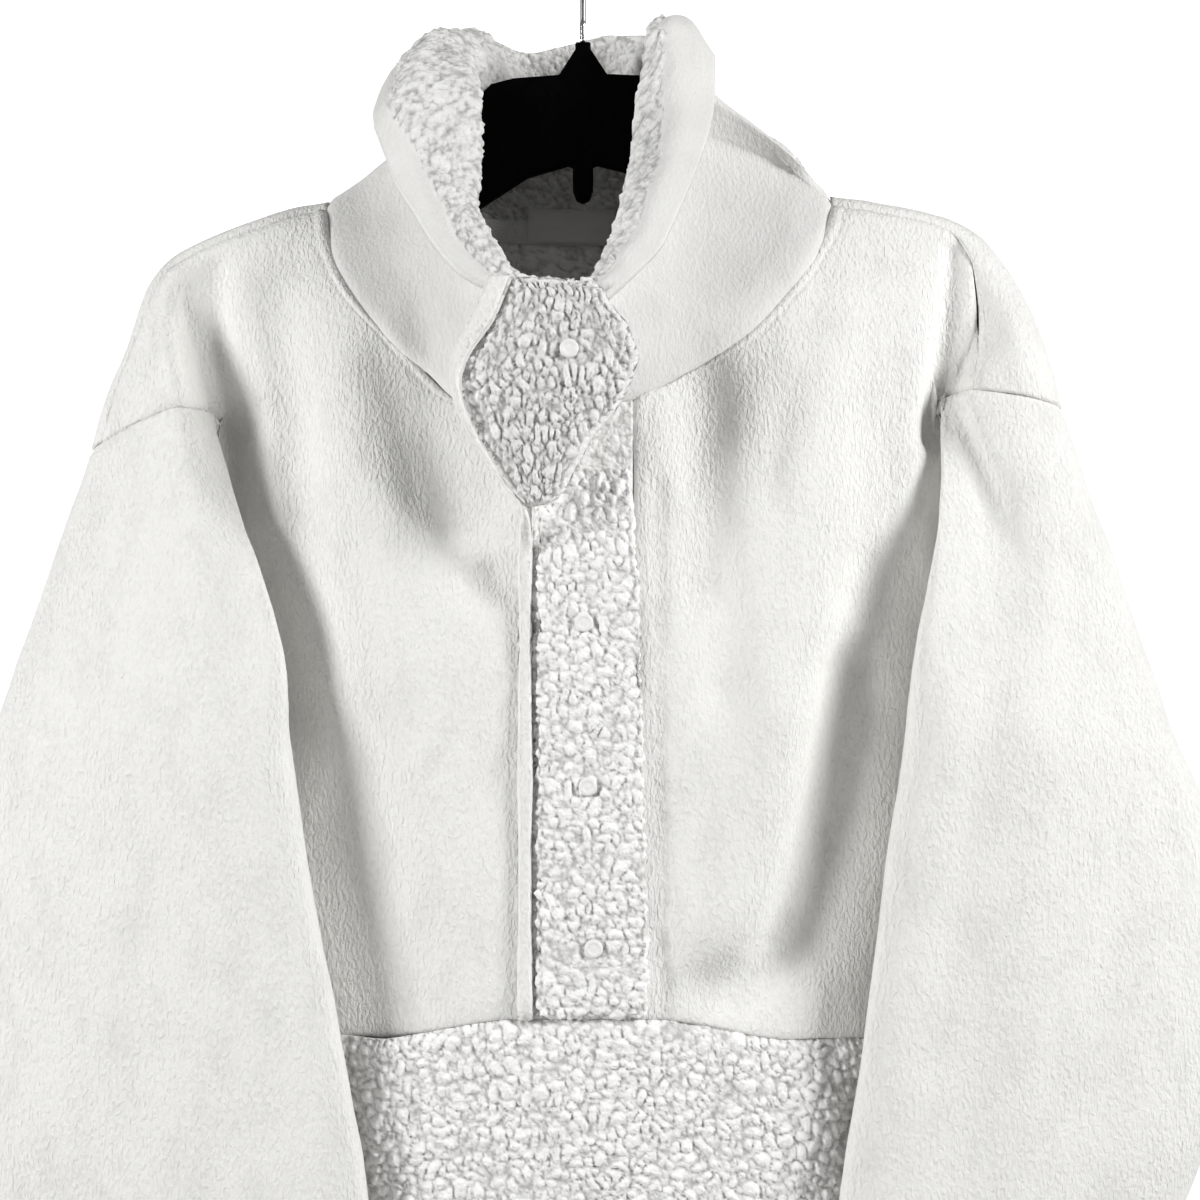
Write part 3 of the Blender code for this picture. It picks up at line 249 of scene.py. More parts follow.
def between(keys, values, at):
    """Smooth reading of values, which stand at rising keys."""
    place = np.interp(at, keys, np.arange(len(keys)))
    low = np.clip(place.astype(int), 0, len(keys) - 2)
    ends = np.concatenate([[2 * values[0] - values[1]], values, [2 * values[-1] - values[-2]]])
    return curve_at(*(ends[low + n] for n in range(4)), place - low)


def side_line(z):
    """How far out the side of the fronts lies at a height."""
    rows = np.array(SIDE_LINE[::-1], float) * MM
    return between(rows[:, 0], rows[:, 1], z)


def distance_to(line, x, z):
    """Distance from each point to a line of x, z points."""
    best = np.full(np.shape(x), 1e9)
    for a, b in zip(line[:-1], line[1:]):
        step = b - a
        along = np.clip(((x - a[0]) * step[0] + (z - a[1]) * step[1]) / (step @ step), 0, 1)
        best = np.minimum(best, np.hypot(x - a[0] - along * step[0], z - a[1] - along * step[1]))
    return best


def folds(table, x, z):
    """Height of all the soft folds at x, z."""
    total = np.zeros(np.shape(x))
    for x0, z0, xm, zm, x1, z1, half_width, height in table:
        t = np.linspace(0, 1, 13)[:, None]
        start, middle, end = (np.array(p) * MM for p in ((x0, z0), (xm, zm), (x1, z1)))
        line = (1 - t) ** 2 * start + 2 * t * (1 - t) * middle + t**2 * end
        reach = distance_to(line, x, z) / (half_width * MM)
        total += height * MM * np.exp(-reach**2)
    return total


def rounded(distance, radius):
    """Profile of a rounded edge: 0 at the edge, the radius once that far in."""
    inward = np.clip(distance / radius, 0, 1)
    return radius * np.sqrt(1 - (1 - inward) ** 2)


RIDGE_LINE = {side: curve_through(RIDGE[side], 60) for side in (-1, 1)}


def to_outline(x, z):
    """Distance from each point to the shoulder's outline on its own side."""
    return np.where(x < 0, *(distance_to(RIDGE_LINE[side], np.abs(x), z) for side in (-1, 1)))


def filled(to_ridge, roll, depth, draw, z):
    """Depth of a face that rolls over at the outline, is full in the middle and is drawn in at the hem."""
    filling = 1 - np.exp(-np.maximum(to_ridge - CREST_WIDTH, 0) / FILL_RUN)
    return rounded(to_ridge, roll) + (depth - roll) * filling - draw * ease(*HEM_REACH, z)


def front_depth(x, z):
    """How far the outer surface of the fronts stands before the hanger's plane."""
    x, z = np.asarray(x, float), np.asarray(z, float)
    across, to_ridge, side = np.abs(x), to_outline(x, z), side_line(z)
    full = filled(to_ridge, SHOULDER_ROLL, CHEST_DEPTH, HEM_DRAW, z)
    valley = np.minimum(SIDE_ROLL + VALLEY_LIFT * ease(*VALLEY_REACH, z), rounded(to_ridge, SHOULDER_ROLL))
    width = CHEST_TURN[0] + CHEST_TURN[1] * ease(*CHEST_TURN_REACH, z)
    chest = valley + (full - valley) * ease(0, 1, np.clip((side - across) / width, 0, 1) ** CHEST_CURVE)
    cap = rounded(to_ridge, SHOULDER_ROLL + CAP_ROLL * ease(*CAP_REACH, z))
    outside = np.clip((across - side) / CAP_TURN, 0, 1)
    over_arm = valley + (np.maximum(cap, valley) - valley) * np.sin(outside * math.pi / 2)
    depth = np.where(across > side, over_arm, chest)
    closing = SIDE_SPARE * ease(CLOSING_Z, UNDERARM_Z, z)
    rim = rounded(side + SIDE_SPARE - closing - across, SIDE_ROLL) / SIDE_ROLL
    depth = np.where(z < SIDE_TOP, depth * np.where(across > side - SIDE_ROLL, rim, 1), depth)
    return depth + folds(FOLDS, x, z) * ease(*FOLD_START, to_ridge) * ease(0, FOLD_SIDE, side - across)


def patch(top, bottom, inner, outer):
    """Grid of points that fills four edge lines. top and bottom run outwards, inner and outer run down."""
    s = np.linspace(0, 1, len(top))[None, :, None]
    run = run_along(inner)
    t = (run / run[-1])[:, None, None]
    corners = (1 - t) * ((1 - s) * top[0] + s * top[-1]) + t * ((1 - s) * bottom[0] + s * bottom[-1])
    return (1 - t) * top[None] + t * bottom[None] + (1 - s) * inner[:, None] + s * outer[:, None] - corners


def waist_z(x):
    """Height of the waist seam, a little lower towards the sides."""
    first, second = (drop * ease(*part, np.abs(x)) for drop, part in WAIST_DROPS)
    return WAIST_Z - first - second


def flipped(grid, side):
    """Turns a grid of one side so that its faces point out."""
    return grid if side > 0 else grid[:, ::-1]


def lifted(flat, side, depth, sign):
    """Gives x, z points of one side their depth: sign -1 is the front and 1 the back."""
    x, z = side * flat[..., 0], flat[..., 1]
    return np.stack([x, sign * depth(x, z), z], axis=-1)


def side_seam(count):
    """The side seam from the underarm to the waist seam."""
    z = np.linspace(UNDERARM_Z, waist_z(WAIST_SIDE_X) + SEAM_GAP, count)
    return np.stack([side_line(z), z], axis=1)


def front_edges(side):
    """The four edges of a front yoke, as x, z lines."""
    top = curve_through(SHOULDER_SEAM[side], SHOULDER_COLUMNS)
    neck = curve_through(NECK_FRONT[side], NECK_ROWS)
    foot = np.array([OPENING_HALF, waist_z(OPENING_HALF) + SEAM_GAP])
    inner = np.vstack([neck, spaced(np.array([neck[-1], foot]), YOKE_ROWS - NECK_ROWS + 1)[1:]])
    crease = CREASE_ROW[side]
    upper = curve_through(ARMHOLE_FRONT[side][:5], crease)
    lower = curve_through(ARMHOLE_FRONT[side][4:], UNDERARM_ROW - crease + 1)
    outer = np.vstack([upper, lower[1:], side_seam(YOKE_ROWS - UNDERARM_ROW + 1)[1:]])
    x = np.linspace(OPENING_HALF, outer[-1, 0], SHOULDER_COLUMNS)
    bottom = np.stack([x, waist_z(x) + SEAM_GAP], axis=1)
    return top, bottom, inner, outer


FRONT = {}
for side in (-1, 1):
    FRONT[side] = lifted(patch(*front_edges(side)), side, front_depth, -1)
    FRONT[side][UNDERARM_ROW - 1:, -1, 1] -= SEAM_GAP / 2


def places(grid, axis, step, around=False):
    """Evenly spaced reading places along one direction of a grid, about step apart on the cloth."""
    lines = np.moveaxis(grid, axis, 0)
    if around:
        lines = np.concatenate([lines, lines[:1]])
    lengths = np.linalg.norm(np.diff(lines, axis=0), axis=2).mean(axis=1)
    run = np.concatenate([[0], np.cumsum(lengths)])
    count = max(3, int(round(run[-1] / step)) + 1)
    at = np.interp(np.linspace(0, run[-1], count), run, np.arange(len(run)))
    return at[:-1] if around else at


def read_at(grid, at, axis, around=False):
    """A grid read smoothly at those places along one direction."""
    lines = np.moveaxis(grid, axis, 0)
    if around:
        lines = np.concatenate([lines[-1:], lines, lines[:2]])
    else:
        lines = np.concatenate([2 * lines[:1] - lines[1:2], lines, 2 * lines[-1:] - lines[-2:-1]])
    low = np.clip(at.astype(int), 0, len(lines) - 4)
    read = curve_at(*(lines[low + n] for n in range(4)), (at - low)[:, None, None])
    return np.moveaxis(read, 0, axis)


def fine(grid, step, around=False):
    """A finer grid through the same points, with squares about step wide."""
    down = read_at(grid, places(grid, 0, step), 0)
    return read_at(down, places(down, 1, step, around), 1, around)


def on_form(grid, depth, sign, step):
    """A finer grid of a panel, set on the form itself, so that soft folds stay crisp between its points."""
    pressed = grid.copy()
    pressed[..., 1] -= sign * depth(grid[..., 0], grid[..., 2])
    smooth = fine(pressed, step)
    smooth[..., 1] += sign * depth(smooth[..., 0], smooth[..., 2])
    return smooth


def unit(steps):
    """The same directions, each of length 1."""
    return steps / np.maximum(np.linalg.norm(steps, axis=-1), 1e-12)[..., None]


def facing(grid, around=False):
    """Unit normals of a grid's outer side."""
    along = (np.roll(grid, -1, 1) - np.roll(grid, 1, 1)) if around else np.gradient(grid, axis=1)
    return unit(np.cross(np.gradient(grid, axis=0), along))


def reach(grid, around=False):
    """How far each point lies from the grid's top, bottom, first and last column, measured on the cloth."""
    down = np.cumsum(np.linalg.norm(np.diff(grid, axis=0, prepend=grid[:1]), axis=2), axis=0)
    across = np.cumsum(np.linalg.norm(np.diff(grid, axis=1, prepend=grid[:, :1]), axis=2), axis=1)
    if around:
        return down, down[-1:] - down, across + 1, across + 1
    return down, down[-1:] - down, across, across[:, -1:] - across


LATTICE = 48
CHANCE = np.random.RandomState(11)
CLOUD = CHANCE.rand(LATTICE, LATTICE, LATTICE)


def cloud(points, size):
    """Soft noise from -1 to 1 with lumps of about that size."""
    place = points / size
    cell = np.floor(place).astype(int)
    t = place - cell
    t = t * t * (3 - 2 * t)
    total = np.zeros(points.shape[:-1])
    for corner in np.ndindex(2, 2, 2):
        share = np.prod(np.where(np.array(corner, bool), t, 1 - t), axis=-1)
        at = (cell + corner) % LATTICE
        total += share * CLOUD[at[..., 0], at[..., 1], at[..., 2]]
    return 2 * total - 1


CREASE_TURN = 1.6


def creased(grid, normals, table):
    """Moves a grid by its own creases, a table like the soft folds' one, where the cloth faces the viewer."""
    towards = np.clip(-normals[..., 1] * CREASE_TURN, 0, 1)
    return grid + normals * (folds(table, grid[..., 0], grid[..., 2]) * towards)[..., None]


NAP_STEP, LINING_STEP = 2.2 * MM, 9 * MM
NAP_SEAM = (1.3 * MM, 2.4 * MM)
# The nap's small lumps, which are longer than wide, and the cloth's slight waves: height and width of each.
NAP_LONG = [1, 1, 0.45]
NAP_LUMPS = ((0.22 * MM, 9 * MM), (0.12 * MM, 4.2 * MM))
CLOTH_WAVE, CLOTH_WAVE_SIZE = 0.9 * MM, 38 * MM


def napped(grid, normals, seams):
    """The fleece face: lightly uneven, and drawn in along its seams. seams are the distances from them."""
    drop, width = NAP_SEAM
    rise = sum(high * cloud(grid * NAP_LONG + n, wide) for n, (high, wide) in enumerate(NAP_LUMPS))
    rise += CLOTH_WAVE * cloud(grid + 2, CLOTH_WAVE_SIZE)
    for seam in seams:
        rise = rise * (1 - np.exp(-(seam / (3 * width)) ** 2)) - drop * np.exp(-(seam / width) ** 2)
    return grid + normals * rise[..., None]


def joined(first, second):
    """Triangles between two lines of points that run side by side."""
    faces, a, b = [], 0, 0
    while a < len(first) - 1 or b < len(second) - 1:
        ahead = (a + 1) * (len(second) - 1) <= (b + 1) * (len(first) - 1)
        if a < len(first) - 1 and (ahead or b == len(second) - 1):
            faces.append((first[a], first[a + 1], second[b]))
            a += 1
        else:
            faces.append((first[a], second[b + 1], second[b]))
            b += 1
    return faces


def numbered(grid, around, first=0):
    """The numbers of a grid's points. Where it closes round, its first column stands once more at the end."""
    n = first + np.arange(grid[..., 0].size).reshape(grid.shape[:2])
    return np.hstack([n, n[:, :1]]) if around else n


def squares(n):
    """The four corners of each square of a numbered grid."""
    return np.stack([n[:-1, :-1], n[1:, :-1], n[1:, 1:], n[:-1, 1:]], -1).reshape(-1, 4)


def outward(n):
    """The same squares turned over, each from the same corner."""
    return squares(n)[:, [0, 3, 2, 1]].tolist()


def shell(outer, inner, around=False):
    """Points, faces and finish numbers of a closed cloth wall: outer face, turned edge and lining."""
    front, back = numbered(outer, around), numbered(inner, around, outer[..., 0].size)
    face, lining = squares(front).tolist(), squares(back)[:, ::-1].tolist()
    edge = joined(front[0], back[0]) + joined(front[-1][::-1], back[-1][::-1])
    if not around:
        edge += joined(front[:, -1], back[:, -1]) + joined(front[::-1, 0], back[::-1, 0])
    kinds = [0] * len(face) + [1] * len(lining) + [0] * len(edge)
    return np.vstack([outer.reshape(-1, 3), inner.reshape(-1, 3)]), face + lining + edge, kinds


# Pile height of points without curls; where a pile colour reads it, it gives them the painted shade of the
# curls' tops.
PLAIN_HEIGHT = 0.75


def sewn(name, shells, finishes, node, heights=None):
    """A piece of closed walls that stands for that solid. heights are those of its first points' pile, which
    set the pile's painted shade.
    """
    points, faces, kinds = [], [], []
    for spots, quads, kind in shells:
        first = sum(map(len, points))
        points.append(spots)
        faces += [[k + first for k in face] for face in quads]
        kinds += kind
    cloth = bpy.data.meshes.new(name)
    cloth.from_pydata(np.vstack(points).tolist(), [], faces)
    for finish in finishes:
        cloth.materials.append(finish)
    cloth.polygons.foreach_set("material_index", kinds)
    cloth.shade_smooth()
    pile_height = np.full(len(cloth.vertices), PLAIN_HEIGHT)
    if heights is not None:
        pile_height[:heights.size] = heights.reshape(-1)
    cloth.attributes.new("pile_height", "FLOAT", "POINT").data.foreach_set("value", pile_height)
    piece = in_scene(name, cloth)
    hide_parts(node)
    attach(piece, "root")
    return piece


class Finish:
    """A node material with a few short ways to add its parts."""

    def __init__(self, name):
        self.material = bpy.data.materials.new(name)
        self.material.use_nodes = True
        self.tree = self.material.node_tree
        self.shader = self.tree.nodes["Principled BSDF"]
        self.place = self.part("TexCoord", {}).outputs["Object"]

    def fill(self, node, inputs):
        """Gives a node's inputs their values, or links them to another node's output."""
        for name, value in inputs.items():
            if isinstance(value, bpy.types.NodeSocket):
                self.tree.links.new(value, node.inputs[name])
            else:
                node.inputs[name].default_value = value
        return node

    def part(self, kind, inputs, **settings):
        """A new shading node, with those inputs and settings."""
        node = self.tree.nodes.new("ShaderNode" + kind)
        for name, value in settings.items():
            setattr(node, name, value)
        return self.fill(node, inputs)

    def stretched(self, texture, stretch, turn, inputs):
        """A texture on the object's own measures."""
        mapping = self.part("Mapping", {"Vector": self.place, "Scale": stretch, "Rotation": turn})
        return self.part(texture, {"Vector": mapping.outputs["Vector"], **inputs}).outputs["Fac"]

    def grain(self, scale, stretch=(1, 1, 1), detail=2.0, twist=0.0):
        """Noise on the object, with so many lumps a metre."""
        inputs = {"Scale": scale, "Detail": detail, "Distortion": twist}
        return self.stretched("TexNoise", stretch, (0, 0, 0), inputs)

    def knots(self, scale, sway):
        """Small round loops, so many a metre, set unevenly: 1 on a loop's middle and less at its edge."""
        drift = self.part("TexNoise", {"Vector": self.place, "Scale": 0.6 * scale}).outputs["Color"]
        shift = {0: drift, 1: [2 * sway] * 3, 2: self.place}
        moved = self.part("VectorMath", shift, operation="MULTIPLY_ADD")
        cells = self.part("TexVoronoi", {}, feature="SMOOTH_F1")
        self.fill(cells, {"Vector": moved.outputs["Vector"], "Scale": scale, "Smoothness": 0.25})
        turned = self.part("Math", {0: cells.outputs["Distance"], 1: -1.5, 2: 1}, operation="MULTIPLY_ADD")
        return turned.outputs["Value"]

    def colours(self, height, stops):
        """Colours the finish along a height."""
        ramp = self.part("ValToRGB", {"Fac": height})
        for element, stop in zip(ramp.color_ramp.elements, (stops[0], stops[-1])):
            element.position, element.color = stop
        for position, colour in stops[1:-1]:
            ramp.color_ramp.elements.new(position).color = colour
        self.fill(self.shader, {"Base Color": ramp.outputs["Color"]})

    def total(self, first, second, share):
        """first plus share times second."""
        return self.part("Math", {0: second, 1: share, 2: first}, operation="MULTIPLY_ADD").outputs["Value"]

    def relief(self, height, depth, strength):
        """Fine relief, too small to be modelled."""
        bump = self.part("Bump", {"Height": height, "Distance": depth, "Strength": strength})
        self.fill(self.shader, {"Normal": bump.outputs["Normal"]})

    def done(self, **values):
        """Sets the surface's own values and gives the finished material."""
        self.fill(self.shader, {name.replace("_", " "): value for name, value in values.items()})
        return self.material


def fleece_finish(name, pale, shade, weight):
    """Short-nap fleece: a crinkled upright grain, as strong as weight says, a fine nap and a soft sheen."""
    nap = Finish(name)
    crinkle = nap.grain(560, (1, 1, 0.5), 1.0, 0.5)
    tone = nap.total(nap.grain(60, (1, 1, 0.5)), crinkle, 1.2 * weight)
    nap.colours(tone, [(0.25 + 0.4 * weight, shade), (0.55 + 0.8 * weight, pale)])
    nap.relief(nap.total(crinkle, nap.grain(1500, (1, 1, 0.6)), 0.2), 1.9 * MM, weight)
    return nap.done(Roughness=0.95, Sheen_Weight=0.2, Sheen_Roughness=0.5, Specular_IOR_Level=0.2)


def sherpa_finish(name, *tones):
    """Curled pile: small loops and fine fibres. Its colour is painted shade: darker the deeper into the pile
    and towards each loop's edge, lighter on the tops. The tones are those of its gaps, its sides and its
    tops.
    """
    pile = Finish(name)
    fibre = pile.grain(1500, twist=0.5)
    loops = pile.knots(330, 0.0018)
    height = pile.part("Attribute", {}, attribute_name="pile_height").outputs["Fac"]
    # Painted shade: the pile's height and the loops set how dark the colour is, so the gaps between curls
    # come out darkest.
    tone = pile.total(pile.total(height, loops, 0.2), fibre, 0.15)
    pile.colours(tone, list(zip((0.14, 0.40, 0.72), tones)))
    pile.relief(pile.total(loops, fibre, 0.35), 1.2 * MM, 0.6)
    return pile.done(Roughness=0.85, Sheen_Weight=0.15, Sheen_Roughness=0.5, Specular_IOR_Level=0.3)


nap_cloth = fleece_finish("short_nap_fleece", (0.83, 0.825, 0.80, 1), (0.74, 0.735, 0.71, 1), 0.72)
brushed_cloth = fleece_finish("brushed_fleece", (0.78, 0.775, 0.755, 1), (0.72, 0.715, 0.695, 1), 0.32)
# The pile's tones for its gaps, sides and tops: the gaps' grey is painted shade in the crevices, and the tops
# are painted lighter.
PILE_TONES = [(0.52, 0.515, 0.50, 1), (0.88, 0.875, 0.86, 1), (0.96, 0.955, 0.94, 1)]
# A darker copy of the same pile, for the collar's lining and the tab: painted shade for the greyer look they
# have where they shade themselves.
SHADED_PILE_TONES = [(0.44, 0.435, 0.42, 1), (0.76, 0.755, 0.74, 1), (0.86, 0.855, 0.84, 1)]
pile_cloth = sherpa_finish("curled_sherpa", *PILE_TONES)
shaded_pile = sherpa_finish("shaded_sherpa", *SHADED_PILE_TONES)


# The band's width and rise, where it starts beside the seam, its far slope, and the groove stitched beyond.
BAND_WIDTH, BAND_RISE, BAND_START, BAND_SLOPE = 7 * MM, 0.9 * MM, (0.4 * MM, 1.6 * MM), 1.2 * MM
GROOVE, GROOVE_AWAY, GROOVE_WIDTH = 0.8 * MM, 0.4 * MM, 0.9 * MM


def banded(outer, normals, away, share):
    """A folded band stitched down beside a seam. away is the distance from it. share is 1 where it runs."""
    rise = BAND_RISE * ease(*BAND_START, away) * (1 - ease(BAND_WIDTH - BAND_SLOPE, BAND_WIDTH, away))
    rise -= GROOVE * np.exp(-((away - BAND_WIDTH - GROOVE_AWAY) / GROOVE_WIDTH) ** 2)
    return outer + normals * (rise * share)[..., None]


EDGES = ("top", "bottom", "first", "last")


def fleece_panel(name, node, grid, smooth, seams, creases, around=False, band=None):
    """A panel with its nap outside, from its coarse and its fine outer grid. seams lists its sewn edges."""
    normals = facing(smooth, around)
    far = dict(zip(EDGES, reach(smooth, around)))
    outer = napped(creased(smooth, normals, creases), normals, [far[edge] for edge in seams])
    if band:
        outer = banded(outer, normals, far[band[0]], band[1](smooth))
    coarse = fine(grid, LINING_STEP, around)
    normals = facing(coarse, around)
    wall = shell(outer, creased(coarse, normals, creases) - FLEECE * normals, around)
    return sewn(name, [wall], [nap_cloth, pile_cloth], node)


# Back yoke: one panel of bonded fleece, cut in one with the strips that come over the shoulders to the seams
# in front. Its neck edge carries the collar's back.

# Neck seam on the back, from the centre to near the neck point: x, z.
NECK_BACK = [(0, -188), (40, -187), (76, -184), (104, -179), (124, -174)]

# Back half of the armhole, from the outline down to the underarm: x, z.
ARMHOLE_BACK = [(245, -296), (232, -305), (222, -335), (217, -380), (216, -430)]

# Soft folds of the back, in the same columns, height away from the body.
BACK_FOLDS = [
    (-150, -215, -140, -330, -120, -470, 20, -4.0),
    (-80, -230, -70, -380, -84, -560, 24, 3.5),
    (10, -230, 0, -400, 14, -600, 28, -3.5),
    (92, -230, 84, -380, 70, -540, 22, 4.0),
    (160, -225, 148, -320, 128, -450, 20, -4.0),
    (-100, -640, -92, -730, -104, -850, 26, -4.0),
    (-20, -640, -28, -740, -12, -850, 26, 3.5),
    (66, -640, 76, -740, 62, -850, 26, -4.5),
    (136, -640, 130, -740, 144, -850, 24, 3.0),
]
BACK_DEPTH, BACK_HEM_DRAW = 38 * MM, 6 * MM
BACK_TURN, BACK_CURVE = 0.14, 0.7
BACK_LOW = (-0.30, -0.36)
BACK_CAP_ROLL, BACK_CAP_ACROSS = 0.012, (0.17, 0.23)
BACK_STEP = 3.4 * MM
STRIP_ROWS, STRIP_END = 4, 0.5 * MM
# Where the columns of the back stand along the back neck seam, from the centre to the neck point.
BACK_NECK_SHARES = [0, 0.19, 0.37, 0.54, 0.68, 0.79, 0.87, 0.94, 1]
# How far below the shoulder's outline each row of the back lies, at the centre and along the armhole.
BACK_DROPS_CENTRE = [0, 4.5, 11, 24, 48, 82, 118, 155, 195]
BACK_DROPS_ARM = [0, 4, 10, 22, 45, 70, 92, 114, 134]
# The lining is modelled finely near the neck, where it shows, and its curls fade out below.
NECK_LINING_STEP, NECK_LINING_ROWS = 1.9 * MM, 32
NECK_PILE, NECK_PILE_END = 3.4 * MM, (42 * MM, 58 * MM)

PILE_SEAM = (3.0 * MM, 3.2 * MM)
JITTER = CHANCE.rand(LATTICE, LATTICE, LATTICE, 3)
LOOPS = CHANCE.normal(size=(LATTICE, LATTICE, LATTICE, 3))
LOOPS /= np.linalg.norm(LOOPS, axis=-1)[..., None]
CURL, CURL_HEIGHT, CURL_SEAT = 6.4 * MM, 4.2 * MM, 0.62
# How far knobs stray from even rows, how oval they are, how sharply they end, and how their tops are domed.
KNOB_SWAY, KNOB_OVAL, KNOB_EDGE, KNOB_TOP, KNOB_SLOPE = 0.55, 0.6, 3.4, 1.08, 0.85
# The shares of full-sized and of small curls, the small ones' size, and how unevenly the pile stands.
CURL_SHARES, SMALL_CURL = (0.72, 0.28), 0.55
PILE_EVEN, PILE_UNEVEN, PILE_PATCH = 0.86, 0.24, 2.4
PILE_WAVE, PILE_WAVE_SIZE = 0.7 * MM, 17 * MM


def knobs(points, size):
    """Round knobs of about that size: 1 on their tops and 0 between them."""
    sway = np.stack([cloud(points + 0.11 * n, 1.3 * size) for n in (1, 2, 3)], axis=-1)
    place = points / size + KNOB_SWAY * sway
    cell = np.floor(place).astype(int)
    first = np.full(points.shape[:-1], 9.0)
    second = first.copy()
    for step in np.ndindex(3, 3, 3):
        seat = cell + step - 1
        at = tuple(np.moveaxis(seat % LATTICE, -1, 0))
        away = place - seat - JITTER[at]
        along = (away * LOOPS[at]).sum(axis=-1)
        far = np.sqrt(np.maximum((away**2).sum(axis=-1) - KNOB_OVAL * along**2, 0))
        second = np.minimum(second, np.maximum(first, far))
        first = np.minimum(first, far)
    return np.tanh(KNOB_EDGE * (second - first)) * (KNOB_TOP - KNOB_SLOPE * np.clip(first, 0, 1))


def curls(points, size):
    """Height of the pile, 0 in the gaps between its curls and near 1 on their tops."""
    tops = CURL_SHARES[0] * knobs(points, size) + CURL_SHARES[1] * knobs(points + 0.3, SMALL_CURL * size)
    return tops * (PILE_EVEN + PILE_UNEVEN * cloud(points + 0.5, PILE_PATCH * size))


def piled(grid, normals, seams, height=CURL_HEIGHT, stretch=(1, 1, 1)):
    """The curled face and its curls' heights. They reach up to the smooth grid, drawn in at its seams."""
    drop, width = PILE_SEAM
    tops = curls(grid * stretch, CURL)
    rise = height * (tops - CURL_SEAT) + PILE_WAVE * cloud(grid + 3, PILE_WAVE_SIZE)
    for seam in seams:
        rise = rise - drop * np.exp(-(seam / width) ** 2)
    return grid + normals * rise[..., None], tops


def back_depth(x, z):
    """How far the outer surface of the back stands behind the hanger's plane."""
    x, z = np.asarray(x, float), np.asarray(z, float)
    across, to_ridge, side = np.abs(x), to_outline(x, z), side_line(z)
    roll = SHOULDER_ROLL + BACK_CAP_ROLL * ease(*CAP_REACH, z) * ease(*BACK_CAP_ACROSS, across)
    full = filled(to_ridge, roll, BACK_DEPTH, BACK_HEM_DRAW, z)
    edge = side + SIDE_SPARE * (1 - ease(CLOSING_Z, UNDERARM_Z, z)) - across
    inward = np.clip(edge / BACK_TURN, 0, 1)
    flat = SIDE_ROLL + (full - SIDE_ROLL) * ease(0, 1, inward**BACK_CURVE)
    low = ease(*BACK_LOW, z)
    rim = rounded(edge, SIDE_ROLL) / SIDE_ROLL
    depth = full * (1 - low) + flat * low
    depth = depth * np.where((z < BACK_LOW[1]) & (across > side - SIDE_ROLL), rim, 1)
    return depth + folds(BACK_FOLDS, x, z) * ease(*FOLD_START, to_ridge) * ease(0, FOLD_SIDE, side - across)


def patch_strip(seam, ridge, rows):
    """Rows of points from a seam line across to the ridge, closer together near the ridge."""
    share = np.sin(np.linspace(0, math.pi / 2, rows))[:, None, None]
    return (1 - share) * seam[None] + share * ridge[None]


def back_edges(side):
    """The four edges of one half of the back yoke, and the strip that comes over the shoulder to the seam."""
    neck = curve_through(NECK_BACK + [RIDGE[side][0]], 101)[(np.array(BACK_NECK_SHARES) * 100).astype(int)]
    ridge = curve_through(RIDGE[side], SHOULDER_COLUMNS)
    top = np.vstack([neck, ridge[1:]])
    seam = curve_through(SHOULDER_SEAM[side], SHOULDER_COLUMNS)
    seam = seam + SEAM_GAP * unit(ridge - seam)
    arm = curve_through([RIDGE[side][-1]] + ARMHOLE_BACK, 135)[BACK_DROPS_ARM]
    below = YOKE_ROWS - UNDERARM_ROW + 1
    outer = np.vstack([arm, side_seam(below)[1:]])
    drop = np.array(BACK_DROPS_CENTRE) * MM
    foot = top[0, 1] - waist_z(0) - SEAM_GAP
    drop = np.concatenate([drop, np.linspace(drop[-1], foot, below)[1:]])
    inner = np.stack([drop * 0, top[0, 1] - drop], axis=1)
    x = np.linspace(0, outer[-1, 0], len(top))
    bottom = np.stack([x, waist_z(x) + SEAM_GAP], axis=1)
    return top, bottom, inner, outer, patch_strip(seam, ridge, STRIP_ROWS)
BACK, STRIP = {}, {}
for side in (-1, 1):
    top, bottom, inner, outer, strip = back_edges(side)
    BACK[side] = lifted(patch(top, bottom, inner, outer), side, back_depth, 1)
    BACK[side][len(BACK_DROPS_ARM) - 1:, -1, 1] += SEAM_GAP / 2
    BACK[side][0, len(BACK_NECK_SHARES) - 1:, 1] = 0
    STRIP[side] = lifted(strip, side, front_depth, -1)
    STRIP[side][-1, :, 1] = 0
whole_back = np.hstack([BACK[1][:, ::-1], BACK[-1][:, 1:]])
smooth = on_form(whole_back, back_depth, 1, BACK_STEP)
outer = napped(smooth, facing(smooth), [reach(smooth)[1]])
near = places(whole_back, 0, NECK_LINING_STEP)[:NECK_LINING_ROWS]
beyond = places(whole_back, 0, LINING_STEP)
inner = read_at(whole_back, np.concatenate([near, beyond[beyond > near[-1]]]), 0)
inner = read_at(inner, places(inner, 1, NECK_LINING_STEP), 1)
normals = facing(inner)
fade = 1 - ease(*NECK_PILE_END, reach(inner)[0])
inner = inner - FLEECE * normals
curled, tops = piled(inner, -normals, [], NECK_PILE)
inner += (curled - inner) * fade[..., None]
back_shells = [shell(outer, inner)]
heights = np.concatenate([np.full(outer[..., 0].size, PLAIN_HEIGHT), tops.reshape(-1)])
for side in (-1, 1):
    over = np.vstack([STRIP[side][:-1], BACK[side][:3, len(BACK_NECK_SHARES) - 1:]])
    strip = fine(flipped(over, -side), NAP_STEP)
    normals = facing(strip)
    cut = slice(0, (strip[..., 1].mean(axis=1) < STRIP_END).sum())
    outer = napped(strip, normals, [reach(strip)[0]])[cut]
    back_shells.append(shell(outer, (strip - FLEECE * normals)[cut][::2, ::2]))
back_yoke = sewn("back_yoke_cloth", back_shells, [nap_cloth, pile_cloth], "back_yoke", heights)

# Sleeves: one panel of the same fleece each, closed along the underarm and set on the dropped armhole. They
# hang from the shoulder, turn forward over the body, and end in open cuffs.

